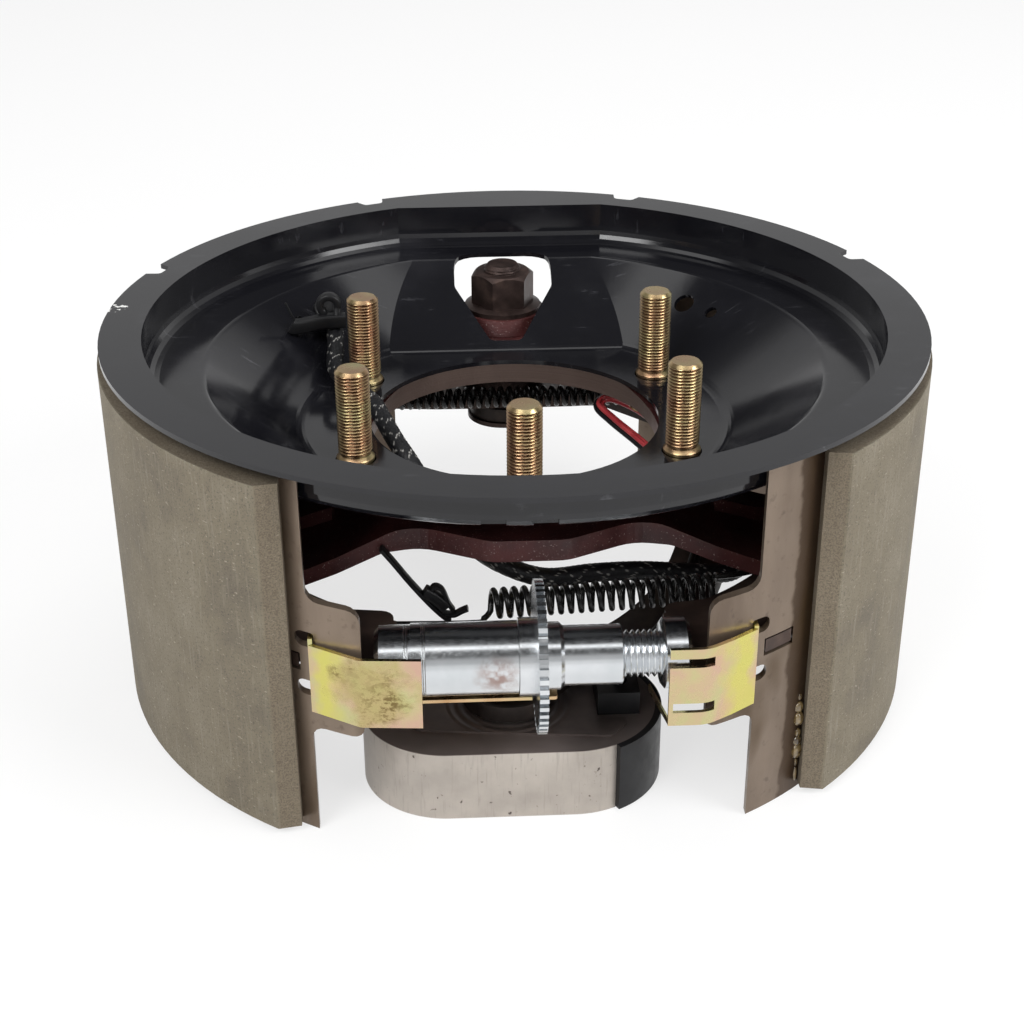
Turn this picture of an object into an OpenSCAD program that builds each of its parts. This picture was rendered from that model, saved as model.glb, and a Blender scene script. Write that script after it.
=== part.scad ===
// Electric drum brake, left hand, lying with its axle side up.
// The origin is the centre of the hub bore on the face that the axle flange seats on.
// +Z points to the axle, +Y to the anchor pin, and the adjuster lies across at -Y.

/* [Shield] */
// Radius of the shield's rim
rim_r = 154; // [150:0.5:158]
// Height of the rim above the mounting pad
shield_depth = 42.5; // [40:0.5:50]
// Thickness of the pressed sheet
sheet_t = 1.8; // [1.2:0.1:2.4]
// Gap between the shield's upright wall and the shoe tables
wall_gap = 1.7; // [0.6:0.1:5]
// Height of the flat ledge below the wall
ledge_z = 25.5; // [20:0.5:30]
// Width of the ledge between the wall and the dish
ledge_w = 21; // [15:0.5:28]
// Radius of the flat mounting pad
pad_r = 82.5; // [80:0.5:90]
// How far the wall's flat at the anchor stands in from the wall's circle
wall_flat_in = 7.5; // [4:0.5:11]
// How far the dish's flat at the anchor stands in from the dish's circle
dish_flat_in = 6.5; // [3:0.5:10]
// Distance from the axis to the pad's flat at the anchor
pad_flat = 66; // [64:0.5:72]
// Radius of the bend between wall and ledge
bend_r = 5; // [2:0.5:7]
// Width of each notch in the rim
notch_w = 12; // [6:0.5:16]
// Depth of each notch in the rim
notch_d = 5.5; // [2:0.5:8]
// Width of the opening over the anchor nut
anchor_opening_w = 42; // [38:0.5:48]

/* [Spider] */
// Radius of the hub bore
hub_r = 56; // [50:0.1:58]
// Thickness of the spider's pad
spider_t = 8; // [6:0.5:12]
// Thickness of the spider's arms
arm_t = 6.5; // [5:0.5:9]
// Drop of the arms from the pad to the shoe pads
arm_drop = 14; // [10:0.5:16]
// Radius of the anchor boss
boss_r = 18; // [17:0.5:21]
// Height of the anchor boss above the mounting face
boss_top = 5; // [2:0.5:8]

/* [Studs] */
// Diameter of the circle through the studs
stud_pcd = 139.7; // [132:0.1:146]
// Diameter of a mounting stud
stud_d = 12.7; // [10:0.1:14]
// Height of the studs above the mounting face
stud_l = 36; // [25:0.5:45]

/* [Anchor] */
// Distance from the inside of the shoe tables to the anchor pin's axis
anchor_in = 37; // [35:0.5:39]
// Diameter of the anchor bolt's thread
anchor_d = 15.9; // [12:0.1:18]
// Diameter of the pin that the shoes rest on
pin_d = 28; // [24:0.5:32]
// Width across the flats of the anchor nut
nut_af = 24; // [20:0.5:26]
// Height of the anchor nut
nut_h = 14; // [8:0.5:18]
// Diameter of the anchor washer
washer_d = 33; // [28:0.5:35]
// Thickness of the anchor washer
washer_t = 3; // [1.5:0.5:4]

/* [Shoes] */
// Outer radius of the linings
lining_r = 155; // [152:0.5:158]
// Thickness of the linings
lining_t = 10; // [7:0.5:10.5]
// Width of the linings across the drum
lining_w = 133.5; // [100:0.5:134]
// Thickness of the shoe tables
table_t = 3; // [2:0.5:3.5]
// Width of the shoe tables across the drum
table_w = 136; // [134:0.5:138]
// Gap between the shoe tables and the shield's rim
rim_gap = 5.2; // [3:0.1:8]
// Thickness of the shoe webs
web_t = 5; // [4:0.5:6]
// Width of the shoe webs inwards from the tables
web_w = 30; // [24:0.5:34]
// Distance from the middle to the end of each table at the adjuster
table_end_x = 75; // [70:0.5:78]
// Distance from the middle to the end of each tongue
tongue_end_x = 57; // [55:0.5:64]
// Height of each tongue
tongue_h = 49; // [40:0.5:56]
// Distance between the two holes for a clip's tabs
hole_pitch = 19; // [15:0.5:22]
// Diameter of the holes for the clips' tabs
hole_w = 5.8; // [5:0.1:7]
// Distance from the middle to the secondary lining's end at the adjuster
secondary_lining_x = 81; // [79:0.5:100]
// Distance from the middle to the primary lining's end at the adjuster
primary_lining_x = 96.5; // [82:0.5:110]
// Distance from the middle to the secondary lining's end at the anchor
secondary_lining_top_x = 58; // [40:0.5:80]
// Distance from the middle to the primary lining's end at the anchor
primary_lining_top_x = 74; // [50:0.5:90]
// Length of the chamfer at each lining end
lining_chamfer = 8; // [3:0.5:12]

/* [Adjuster] */
// Distance from the inside of the shoe tables to the adjuster's axis
adjuster_in = 18.5; // [17:0.5:20]
// Outer diameter of the socket tube
tube_d = 24.7; // [22:0.1:26]
// Diameter of the star wheel
star_d = 52; // [44:0.5:54]
// Number of teeth on the star wheel
star_teeth = 48; // [30:1:60]
// Thickness of the star wheel
star_t = 3; // [2:0.1:6]
// Position of the star wheel's left face along the adjuster
star_x = 0.5; // [-3:0.5:4]
// Diameter of the adjusting thread
thread_d = 16; // [12:0.5:17]
// Diameter of the star nut's shank
shank_d = 20.4; // [19:0.1:22]
// Diameter of the screw's forked head
fork_d = 24; // [20:0.5:25]
// Position of the ends of the shoe webs from the middle
web_end_x = 47; // [45:0.5:49]
// Radial clearance of turning and sliding fits
fit = 0.05; // [0.02:0.01:0.1]

/* [Clips] */
// Thickness of the shoe clips
clip_t = 1.5; // [1:0.1:2]
// Height of the secondary shoe's clip
clip_h = 26; // [20:0.5:32]
// Height of the primary shoe's clip
primary_clip_h = 29.5; // [24:0.5:36]
// Thickness of the star wheel's lock plate
lock_t = 1.2; // [0.8:0.1:1.6]

/* [Magnet and lever] */
// Length of the magnet
magnet_l = 106; // [90:1:112]
// Width of the magnet
magnet_w = 62; // [54:1:66]
// Height of the magnet
magnet_h = 27; // [22:0.5:30]
// Position of the magnet's middle across the brake
magnet_x = -7; // [-12:0.5:0]
// Distance from the hub axis to the magnet's middle
magnet_y = 90; // [86:0.5:92]
// Thickness of the lever
lever_t = 6; // [5:0.5:7]
// Width of the lever
lever_w = 20; // [14:0.5:24]
// Radius of the lever's sweep round the hub
lever_sweep_r = 76; // [74:0.5:82]
// Radius of the magnet's post
post_r = 9; // [7:0.5:11]

/* [Springs] */
// Wire diameter of the retractor springs
wire_d = 2.2; // [1.6:0.1:2.6]
// Outer diameter of the retractor springs
spring_d = 11.5; // [9:0.5:13]
// Pitch of the retractor springs' turns
spring_pitch = 3.7; // [3:0.1:5]

/* [Harness] */
// Diameter of the braided sleeve
sleeve_d = 7; // [5:0.5:8]
// Diameter of each lead
lead_d = 2.6; // [2:0.1:3]

/* [Hidden] */
$fn = 96;
eps = 0.01;
far = 400;

// Shoe places, which follow the drum's radius
table_r = lining_r - lining_t;
table_in = table_r - table_t;
web_r = table_in - web_w;
flange_z = shield_depth - sheet_t;
shoe_z = flange_z - rim_gap - table_w / 2;
anchor_y = table_in - anchor_in;
adjuster_y = table_in - adjuster_in;
// Shield places
wall_r = table_in - wall_gap - sheet_t;
dish_r = wall_r - ledge_w;
wall_flat = wall_r - wall_flat_in;
dish_flat = dish_r - dish_flat_in;
tie_hole_r = dish_r - 12;
tie_hole_z = ledge_z * (tie_hole_r - pad_r) / (dish_r - pad_r);
dish_tilt = atan2(ledge_z, dish_r - pad_r);
stud_angles = [33, 147, 210, 270, 330];
notch_angles = [22, 68, 112, 158];
stud_r = stud_d / 2;
spider_z = -sheet_t;
head_z = spider_z - spider_t + 0.5;
boss_low = spider_z - spider_t - 12;
web_top = shoe_z + web_t / 2;
lining_z = shoe_z + table_w / 2 - lining_w;
table_past = 1.5;
hole_x = table_end_x + 1.5;
tab_x = hole_x - 3.3;
tab_y = sqrt(table_r * table_r - tab_x * tab_x) + 0.3;
tenon = [hole_x + 2, hole_x + 12];
tenon_gap = 0.9;
// Adjuster places
tube_r = tube_d / 2;
thread_r = thread_d / 2;
tube_end = star_x - 5.9;
collar_r = tube_r + 0.9;
slot_gap = 0.2;
slot_depth = 6;
socket_end = -web_end_x - slot_depth;
screw_head = web_end_x - 4.7;
screw_end = web_end_x + 5;
shank_end = star_x + 29;
bore_in = tube_end - 24;
// Anchor places
web_gap = 0.3;
pin_r = pin_d / 2;
journal_r = pin_r - 4;
lever_top = shoe_z - web_t / 2 - 3;
lug_r = 5;
lug_y = anchor_y + 22;
lug_gap = 2.2;
// Magnet places
floor_z = shoe_z - table_w / 2;
// Spring places
hook_r = 2.6;
upper_hook = rim_point(23.2, 45);
lower_hook = rim_point(23.1, -42.3);
magnet_top = floor_z + magnet_h;
plate_t = 0.8;
float_gap = 2.7;
boot_x = magnet_l / 2 - magnet_w / 2 + 17;
lever_low = magnet_top + plate_t + float_gap;
retainer_t = 1.2;
post_top = lever_low + lever_t + retainer_t + 1.5;
// Hold-down places
hold_x = rim_point(21, -30.8).x;
hold_y = rim_point(21, -30.8).y;
hold_spring_r = 8.2;
cup_z = shoe_z - web_t / 2 - 13;

// A point so far inside the shoe tables, at angle a
function rim_point(inside, a) = (table_in - inside) * [cos(a), sin(a)];

// Paths with rounded corners

function unit(v) = v / norm(v);

// Points of the arc of radius r that rounds the corner at q
function corner(p, q, s, r, n) =
    let (u = unit(p - q), v = unit(s - q), half = acos(u * v) / 2, d = r / tan(half),
        c = q + unit(u + v) * r / sin(half), a = q + u * d - c, b = q + v * d - c,
        a0 = atan2(a.y, a.x), turn = (atan2(b.y, b.x) - a0 + 540) % 360 - 180)
    [for (i = [0:n]) c + r * [cos(a0 + turn * i / n), sin(a0 + turn * i / n)]];

// A path whose corner i is rounded to radii[i]
function bend(p, radii, n = 4) =
    [for (i = [0:len(p) - 1])
        each (i == 0 || i == len(p) - 1 || radii[i] == 0) ? [p[i]]
            : corner(p[i - 1], p[i], p[i + 1], radii[i], n)];

function closed_bend(p, radii, n = 4) =
    let (m = len(p))
    [for (i = [0:m - 1])
        each radii[i] == 0 ? [p[i]] : corner(p[(i + m - 1) % m], p[i], p[(i + 1) % m], radii[i], n)];

// A closed strip of thickness t that follows a path on its left side
function strip(p, t) =
    let (m = len(p), dir = [for (i = [0:m - 1])
            unit((i < m - 1 ? unit(p[i + 1] - p[i]) : [0, 0]) + (i > 0 ? unit(p[i] - p[i - 1]) : [0, 0]))])
    concat(p, [for (i = [m - 1:-1:0]) p[i] + t * [-dir[i].y, dir[i].x]]);

// A round tube swept along points, as one solid

function cross3(a, b) = cross(a, b);

function tangent(p, i) =
    unit(p[min(i + 1, len(p) - 1)] - p[max(i - 1, 0)]);

// Each ring's side direction is carried on from the ring before it
function carry(p, i, last) =
    let (t = tangent(p, i), s = last - t * (last * t)) unit(s);

function side_dirs(p) =
    let (t0 = tangent(p, 0), first = unit(cross3(t0, abs(t0.z) < 0.9 ? [0, 0, 1] : [1, 0, 0])))
    [for (i = 0, s = first; i < len(p); i = i + 1, s = i < len(p) ? carry(p, i, s) : s) s];

module swept_tube(p, r, sides) {
    dirs = side_dirs(p);
    n = len(p);
    rings = [for (i = [0:n - 1]) for (k = [0:sides - 1])
        p[i] + r * (cos(360 * k / sides) * dirs[i] + sin(360 * k / sides) * cross3(tangent(p, i), dirs[i]))];
    walls = [for (i = [0:n - 2]) for (k = [0:sides - 1])
        let (a = i * sides, b = a + sides, j = (k + 1) % sides)
        each [[a + k, b + j, a + j], [a + k, b + k, b + j]]];
    start = [for (k = [0:sides - 1]) k];
    finish = [for (k = [sides - 1:-1:0]) (n - 1) * sides + k];
    polyhedron(rings, concat([start], walls, [finish]), convexity = 10);
}

// A smooth curve through chosen points, steps rings between each pair
function spline(p, steps) =
    let (m = len(p))
    concat([for (i = [0:m - 2]) for (k = [0:steps - 1])
        let (u = k / steps, a = p[max(i - 1, 0)], b = p[i], c = p[i + 1], d = p[min(i + 2, m - 1)])
        0.5 * (2 * b + (c - a) * u + (2 * a - 5 * b + 4 * c - d) * u * u
            + (3 * b - a - 3 * c + d) * u * u * u)], [p[m - 1]]);

module at_studs() {
    for (a = stud_angles)
        rotate([0, 0, a]) translate([stud_pcd / 2, 0, 0]) children();
}

// Dust shield: one deep pressing, with its flats at the anchor side

// The space above the sheet, drawn from the axis outwards, in one section
function bowl(pad, dish, wall, low) =
    let (t = low ? sheet_t : 0, slope = unit([dish - pad, ledge_z]))
    bend([[-1, -t], [pad + t * slope.y / (1 + slope.x), -t],
        [dish + t * slope.y / (1 + slope.x), ledge_z - t], [wall + t, ledge_z - t],
        [wall + t, shield_depth + 5], [-1, shield_depth + 5]],
        [0, 8, 4 + t, bend_r + (low ? t - 1 : 0), 0, 0]);

module bowl_space(low) {
    intersection() {
        rotate_extrude()
            intersection() {
                polygon(bowl(pad_r, dish_r, wall_r, low));
                translate([0, -50]) square([far, 200]);
            }
        rotate([90, 0, 90])
            translate([0, 0, -far / 2])
            linear_extrude(far)
            union() {
                polygon(bowl(pad_flat, dish_flat, wall_flat, low));
                translate([-far, low ? -sheet_t : 0]) square([far, shield_depth + 5 + (low ? sheet_t : 0)]);
            }
    }
}

module anchor_opening() {
    half = anchor_opening_w / 2;
    translate([0, 0, -20])
        linear_extrude(80)
        polygon(closed_bend([[-6.5, pad_flat + 5], [6.5, pad_flat + 5], [half, anchor_y - 8],
            [half, anchor_y + 12.5], [-half, anchor_y + 12.5], [-half, anchor_y - 8]],
            [3, 3, 5, 11, 11, 5], 5));
}

module notches() {
    for (a = notch_angles)
        rotate([0, 0, a])
            translate([rim_r, 0, flange_z - 1])
            linear_extrude(sheet_t + 2)
            polygon(bend([[3, -notch_w / 2 - 1], [-notch_d, -notch_w / 3], [-notch_d, notch_w / 3],
                [3, notch_w / 2 + 1]], [0, 2, 2, 0]));
}

// Holes for the harness clips, in the dish at each side of the anchor
module clip_holes() {
    for (h = [[44.3, 4.4], [36.2, 2.7], [135.7, 4.4], [143.8, 2.7]])
        rotate([0, 0, h[0]])
            translate([tie_hole_r, 0, tie_hole_z])
            rotate([0, -dish_tilt, 0])
            translate([0, 0, -12])
            cylinder(r = h[1], h = 24);
}

module dust_shield() {
    color([0.12, 0.12, 0.13])
    difference() {
        union() {
            translate([0, 0, flange_z]) cylinder(r = rim_r, h = sheet_t);
            intersection() {
                bowl_space(true);
                translate([0, 0, -sheet_t]) cylinder(r = wall_r + 10, h = shield_depth + sheet_t);
            }
        }
        bowl_space(false);
        translate([0, 0, -20]) cylinder(r = hub_r, h = 40);
        at_studs() translate([0, 0, -20]) cylinder(r = stud_r + 1.2, h = 40);
        anchor_opening();
        clip_holes();
        notches();
        for (x = [star_x - 14, star_x + 2.5])
            translate([x - 4, -wall_r - 4, ledge_z - sheet_t - 1]) cube([8, 8, 5]);
    }
}

// Spider: the casting that carries the anchor, the studs and the shoe pads

// Its section across the brake, flat and thick at the pad, stepped down to the arms
module arm_section(lift, t_pad, t) {
    top = [[far / 2, -arm_drop], [84, -arm_drop], [46, 0], [-46, 0], [-84, -arm_drop], [-far / 2, -arm_drop]];
    low = [[-far / 2, -arm_drop - t], [-86, -arm_drop - t], [-50, -t_pad], [50, -t_pad],
        [86, -arm_drop - t], [far / 2, -arm_drop - t]];
    rotate([90, 0, 0])
        translate([0, spider_z + lift, -far / 2])
        linear_extrude(far)
        polygon(concat(bend(top, [0, 16, 16, 16, 16, 0]), bend(low, [0, 12, 12, 12, 12, 0])));
}

// Half an outline, from the front on the middle line to the back, and its mirror image
function both_sides(p) = concat(p, [for (i = [len(p) - 1:-1:0]) if (p[i].x > eps) [-p[i].x, p[i].y]]);

function both_radii(p, r) = concat(r, [for (i = [len(p) - 1:-1:0]) if (p[i].x > eps) r[i]]);

module spider_outline() {
    half = [[0, -99], [13, -99], [37, -87], [66, -94], rim_point(5.5, -44.7), rim_point(6.5, -31.1),
        rim_point(23, -24.8), [80, -36], [82, 10], rim_point(32, 19.1), rim_point(14.6, 22.1), rim_point(11.6, 35.6),
        rim_point(28.7, 42.1), [58, 62], [32, anchor_y - 21], [13, anchor_y + 4], [0, anchor_y + 4]];
    r = [0, 14, 16, 12, 14, 12, 10, 16, 16, 10, 10, 10, 10, 12, 16, 5, 0];
    polygon(closed_bend(both_sides(half), both_radii(half, r)));
}

module spider_boss() {
    translate([0, anchor_y, 0])
        rotate_extrude()
        polygon([[0, boss_low], [boss_r + 1, boss_low], [boss_r + 2, spider_z + 0.5], [boss_r, boss_top], [0, boss_top]]);
}

module spider() {
    color([0.36, 0.15, 0.13])
    difference() {
        union() {
            intersection() {
                arm_section(0, spider_t, arm_t);
                linear_extrude(120, center = true) spider_outline();
            }
            for (m = [0, 1]) mirror([m, 0, 0]) {
                intersection() {
                    arm_section(5, spider_t + 3, arm_t + 3);
                    linear_extrude(120, center = true)
                        polygon(strip([[hold_x - 8, hold_y + 1], [88, -56], [68, -58]], 6));
                }
                for (y = [hold_y, -hold_y])
                    translate([hold_x, y, web_top + 0.3])
                        cylinder(r = 9, h = spider_z - arm_drop - 1 - web_top - 0.3);
            }
            spider_boss();
        }
        translate([0, 0, -60]) cylinder(r = hub_r, h = 100);
        at_studs() translate([0, 0, -40]) cylinder(r = stud_r, h = 60);
        at_studs() translate([0, 0, head_z - 20]) cylinder(r = stud_r + 4.4, h = 20);
        translate([0, anchor_y, -40]) cylinder(r = anchor_d / 2, h = 80);
        for (m = [0, 1]) mirror([m, 0, 0])
            translate([hold_x, hold_y, -60]) cylinder(r = 2.2, h = 80);
    }
}

// Mounting studs: pressed into the spider, with their heads below it
module mounting_studs() {
    color([0.72, 0.6, 0.36])
    at_studs() {
        translate([0, 0, head_z - 5]) cylinder(r = stud_r + 3.4, h = 5);
        translate([0, 0, head_z - 1]) cylinder(r = stud_r, h = stud_l - head_z);
        translate([0, 0, spider_z]) cylinder(r = stud_r + 1, h = 4);
        translate([0, 0, stud_l - 1]) cylinder(r1 = stud_r, r2 = stud_r - 1, h = 1);
    }
}

// Anchor pin: shoulder, shoe journal and lever journal turned in one
module anchor_pin() {
    stem_low = lever_top - lever_t - 4;
    color([0.45, 0.42, 0.4])
    translate([0, anchor_y, 0]) {
        translate([0, 0, boss_low]) cylinder(r = anchor_d / 2, h = boss_top + washer_t + nut_h + 2 - boss_low);
        translate([0, 0, boss_top + washer_t + nut_h + 2])
            cylinder(r1 = anchor_d / 2, r2 = anchor_d / 2 - 1.2, h = 1.2);
        translate([0, 0, web_top + 0.5]) cylinder(r = pin_r + 4, h = boss_low - web_top - 0.5);
        translate([0, 0, lever_top + web_gap]) cylinder(r = pin_r, h = web_top + 0.5 - lever_top - web_gap);
        translate([0, 0, stem_low]) cylinder(r = journal_r, h = lever_top + web_gap - stem_low);
    }
}

module hexagon(af) {
    circle(d = af / cos(30), $fn = 6);
}

module anchor_nut() {
    color([0.28, 0.2, 0.19])
    translate([0, anchor_y, boss_top + washer_t])
    difference() {
        intersection() {
            linear_extrude(nut_h) rotate([0, 0, 10]) hexagon(nut_af);
            union() {
                cylinder(r = nut_af / 2 + 2, h = nut_h - 2);
                translate([0, 0, nut_h - 2]) cylinder(r1 = nut_af / 2 + 2, r2 = nut_af / 2 - 0.5, h = 2);
            }
        }
        translate([0, 0, -1]) cylinder(r = anchor_d / 2, h = nut_h + 2);
    }
}

module anchor_washer() {
    color([0.4, 0.38, 0.38])
    translate([0, anchor_y, boss_top])
    difference() {
        union() {
            cylinder(r = washer_d / 2, h = washer_t - 1);
            translate([0, 0, washer_t - 1])
                cylinder(r1 = washer_d / 2, r2 = washer_d / 2 - 3, h = 1);
        }
        translate([0, 0, -1]) cylinder(r = anchor_d / 2, h = washer_t + 2);
    }
}

// Retaining washer on the end of the anchor pin, below the lever
module lever_retainer() {
    color([0.6, 0.6, 0.6])
    translate([0, anchor_y, lever_top - lever_t - 0.3 - 2])
    difference() {
        cylinder(r = journal_r + 6, h = 2);
        translate([0, 0, -1]) cylinder(r = journal_r, h = 4);
        translate([-journal_r * 0.6, 0, -1]) cube([journal_r * 1.2, 40, 4]);
    }
}

// Hold-downs: a nail through each front pad, a spring and a cup below the web

module at_hold_downs() {
    for (s = [-1, 1]) translate([s * hold_x, hold_y, 0]) children();
}

module hold_down_pins() {
    top = spider_z - arm_drop + 0.02;
    color([0.7, 0.68, 0.6])
    at_hold_downs() {
        translate([0, 0, cup_z - 2.5]) cylinder(r = 2, h = top - cup_z + 2.5);
        translate([0, 0, top]) cylinder(r = 5, h = 1.6);
        translate([0, 0, cup_z - 4]) cylinder(r = 3.4, h = 1.5);
    }
}

function helix(r, low, high, turns, steps) =
    [for (i = [0:turns * steps])
        [r * cos(360 * i / steps), r * sin(360 * i / steps), low + (high - low) * i / (turns * steps)]];

module hold_down_springs() {
    color([0.12, 0.12, 0.12])
    at_hold_downs()
        swept_tube(helix(hold_spring_r, cup_z + 1, shoe_z - web_t / 2 - 1.2, 4, 9), 0.9, 5);
}

module hold_down_cups() {
    color([0.5, 0.5, 0.5])
    at_hold_downs()
    difference() {
        translate([0, 0, cup_z - 2.5]) cylinder(r = hold_spring_r + 2.4, h = 4.5);
        translate([0, 0, cup_z]) cylinder(r = hold_spring_r + 1.4, h = 6);
        translate([0, 0, cup_z - 4]) cylinder(r = 2.2, h = 6);
    }
}

// Shoes: a rolled table, a welded web and a bonded lining

module ring_arc(r_in, r_out, low, high, from, to) {
    rotate([0, 0, from])
        rotate_extrude(angle = to - from)
        translate([r_in, low])
        square([r_out - r_in, high - low]);
}

// What is cut off above and below the tongue, at the table's end at the adjuster
module beside_tongue() {
    r = 4.5;
    for (side = [-1, 1])
        translate([0, shoe_z]) scale([1, side])
            polygon(closed_bend([[tongue_end_x - 20, -1], [tongue_end_x, -1], [tongue_end_x, tongue_h / 2],
                [table_end_x, tongue_h / 2], [table_end_x, table_w], [tongue_end_x - 20, table_w]],
                [0, 0, r, r, 0, 0]));
}

module slot_hole() {
    polygon(closed_bend([[-3.6, -hole_w / 2], [2.8, -hole_w / 2], [2.8, hole_w / 2], [-3.6, hole_w / 2]],
        [0.8, 2.4, 2.4, 0.8], 5));
}

// The table of the shoe at +X; it goes a little further to the anchor than its lining
module table(top_x) {
    end = asin(tongue_end_x / table_r) - 91;
    difference() {
        ring_arc(table_in, table_r, shoe_z - table_w / 2, shoe_z + table_w / 2, end,
            90 + table_past - asin(top_x / lining_r));
        rotate([90, 0, 0]) linear_extrude(far) beside_tongue();
        for (s = [-1, 1])
            translate([hole_x, 0, shoe_z + s * hole_pitch / 2])
                rotate([90, 0, 0]) linear_extrude(far) slot_hole();
        translate([tenon[0] - 0.6, -far, shoe_z - web_t / 2 - tenon_gap])
            cube([tenon[1] - tenon[0] + 1.2, far, web_t + 2 * tenon_gap]);
    }
}

module web_outline() {
    end = web_end_x;
    difference() {
        union() {
            intersection() {
                circle(r = table_in, $fn = 180);
                union() {
                    difference() {
                        translate([end - 1, -far / 2]) square([far, far]);
                        circle(r = web_r, $fn = 180);
                        translate([0, -far - adjuster_y + 15.5]) square(far);
                    }
                    polygon(closed_bend([[end, -adjuster_y - 7], [62, -adjuster_y - 12], [table_in - 32, -adjuster_y - 12],
                        rim_point(17, -28.6), rim_point(32, -33), [74, -adjuster_y + 32], [end, -adjuster_y + 28]],
                        [4, 3, 0, 0, 0, 10, 5]));
                    polygon(closed_bend([[1.5, anchor_y - 19.6], [30, anchor_y - 19.4], [60, anchor_y - 16.5],
                        rim_point(33.8, 33.7), rim_point(25.4, 31), [100, 150], [20, 150], [1.5, anchor_y + 26]],
                        [4, 10, 20, 0, 0, 0, 0, 3]));
                }
            }
            intersection() {
                translate([tenon[0], -far]) square([tenon[1] - tenon[0], far]);
                difference() {
                    circle(r = table_r - 0.4, $fn = 180);
                    circle(r = table_in - 4, $fn = 180);
                }
            }
        }
        translate([0, anchor_y]) circle(r = pin_r + web_gap);
        translate([-1, anchor_y + 12]) square([lug_r + lug_gap + 1, 40]);
        translate([upper_hook.x, upper_hook.y]) circle(r = hook_r);
        translate([lower_hook.x, lower_hook.y]) circle(r = hook_r);
        translate([hold_x, hold_y]) circle(r = 6.2);
    }
}

module web() {
    translate([0, 0, shoe_z - web_t / 2]) linear_extrude(web_t) web_outline();
}

// A lining whose ends are cut square to the brake's width, each with a chamfer
module lining(near_x, far_x) {
    near_y = -sqrt(lining_r * lining_r - pow(near_x + lining_chamfer, 2));
    far_y = sqrt(lining_r * lining_r - pow(far_x + lining_chamfer, 2));
    a0 = asin(near_x / lining_r) - 92;
    a1 = 92 - asin(far_x / lining_r);
    difference() {
        ring_arc(table_r, lining_r, lining_z, lining_z + lining_w, a0, a1);
        translate([near_x - 50, -far, -far]) cube([50, far, 2 * far]);
        translate([far_x - 50, 0, -far]) cube([50, far, 2 * far]);
        translate([near_x + lining_chamfer, near_y, -far])
            rotate([0, 0, -10]) translate([-60, -60, 0]) cube([60, 60, 2 * far]);
        translate([far_x + lining_chamfer, far_y, -far])
            rotate([0, 0, 10]) translate([-60, 0, 0]) cube([60, 60, 2 * far]);
    }
}

module primary_table() {
    color([0.46, 0.4, 0.36]) table(primary_lining_top_x);
}

module primary_web() {
    color([0.24, 0.21, 0.2]) web();
}

module primary_lining() {
    color([0.45, 0.42, 0.35]) lining(primary_lining_x, primary_lining_top_x);
}

module secondary_table() {
    color([0.46, 0.4, 0.36]) mirror([1, 0, 0]) table(secondary_lining_top_x);
}

module secondary_web() {
    color([0.24, 0.21, 0.2]) mirror([1, 0, 0]) web();
}

module secondary_lining() {
    color([0.45, 0.42, 0.35]) mirror([1, 0, 0]) lining(secondary_lining_x, secondary_lining_top_x);
}

// Shoe clips: bent strips that hook into the tongues and hold the adjuster

// The tabs that pass through the two holes of a table, at the end of a clip
module clip_tabs() {
    for (s = [-1, 1])
        translate([tab_x, -tab_y - clip_t, shoe_z + s * hole_pitch / 2 - 1.9]) cube([clip_t, 8, 3.8]);
}

module secondary_clip() {
    out_y = -adjuster_y - tube_r - 0.1 - clip_t;
    path = bend([[-tab_x - clip_t, -tab_y - clip_t], [-58, out_y], [-37.5, out_y - 1.5]], [0, 4, 0]);
    color([0.82, 0.76, 0.5]) {
        translate([0, 0, shoe_z + 9 - clip_h]) linear_extrude(clip_h) polygon(strip(path, clip_t));
        mirror([1, 0, 0]) clip_tabs();
    }
}

module primary_clip() {
    out_y = -adjuster_y - fork_d / 2 - 1.8 - clip_t;
    z0 = shoe_z + 10.25 - primary_clip_h;
    x0 = web_end_x - 3.2;
    path = bend([[x0, out_y], [x0 + 13, out_y], [x0 + 22, out_y + 5.5], [tab_x + clip_t, -tab_y - clip_t]],
        [0, 12, 12, 0]);
    color([0.82, 0.76, 0.5]) {
        difference() {
            union() {
                translate([0, 0, z0]) linear_extrude(primary_clip_h) polygon(strip(path, clip_t));
                translate([0, 0, z0]) linear_extrude(2.4)
                    polygon(strip([[x0 - 4, out_y + 22], [x0, out_y + clip_t / 2], [x0 + 1.5, out_y + clip_t / 2]],
                        clip_t / 2));
            }
            translate([x0 - 1, out_y - 9, z0 + primary_clip_h - 7]) cube([16, 30, 3.4]);
            translate([x0 + 1.5, out_y - 9, z0 + 5]) cube([14, 30, 3.6]);
        }
        clip_tabs();
    }
}

// Lock plate: lies under the socket tube, and the star wheel turns in its window
module lock_plate() {
    top = shoe_z - collar_r - 0.1;
    front = -adjuster_y - tube_r - 0.1;
    back = -adjuster_y + star_d / 2 + 5;
    x0 = star_x - 1.2;
    x1 = star_x + star_t + 1.2;
    color([0.8, 0.74, 0.5])
    translate([0, 0, top - lock_t])
    linear_extrude(lock_t)
    polygon(closed_bend([[-54, front], [-39, front], [-39, front + 8], [x0, front + 8], [x0, back - 4],
        [x1, back - 4], [x1, front + 8], [x1 + 3.1, front + 8], [x1 + 3.1, back], [-20, back],
        [-54, front + 16]], [0, 0, 2, 0, 0, 0, 0, 1, 3, 6, 2]));
}

// Adjuster: a socket tube, a star nut that turns in it, and a forked screw

module along_adjuster() {
    translate([0, -adjuster_y, shoe_z]) rotate([0, 90, 0]) children();
}

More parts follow.
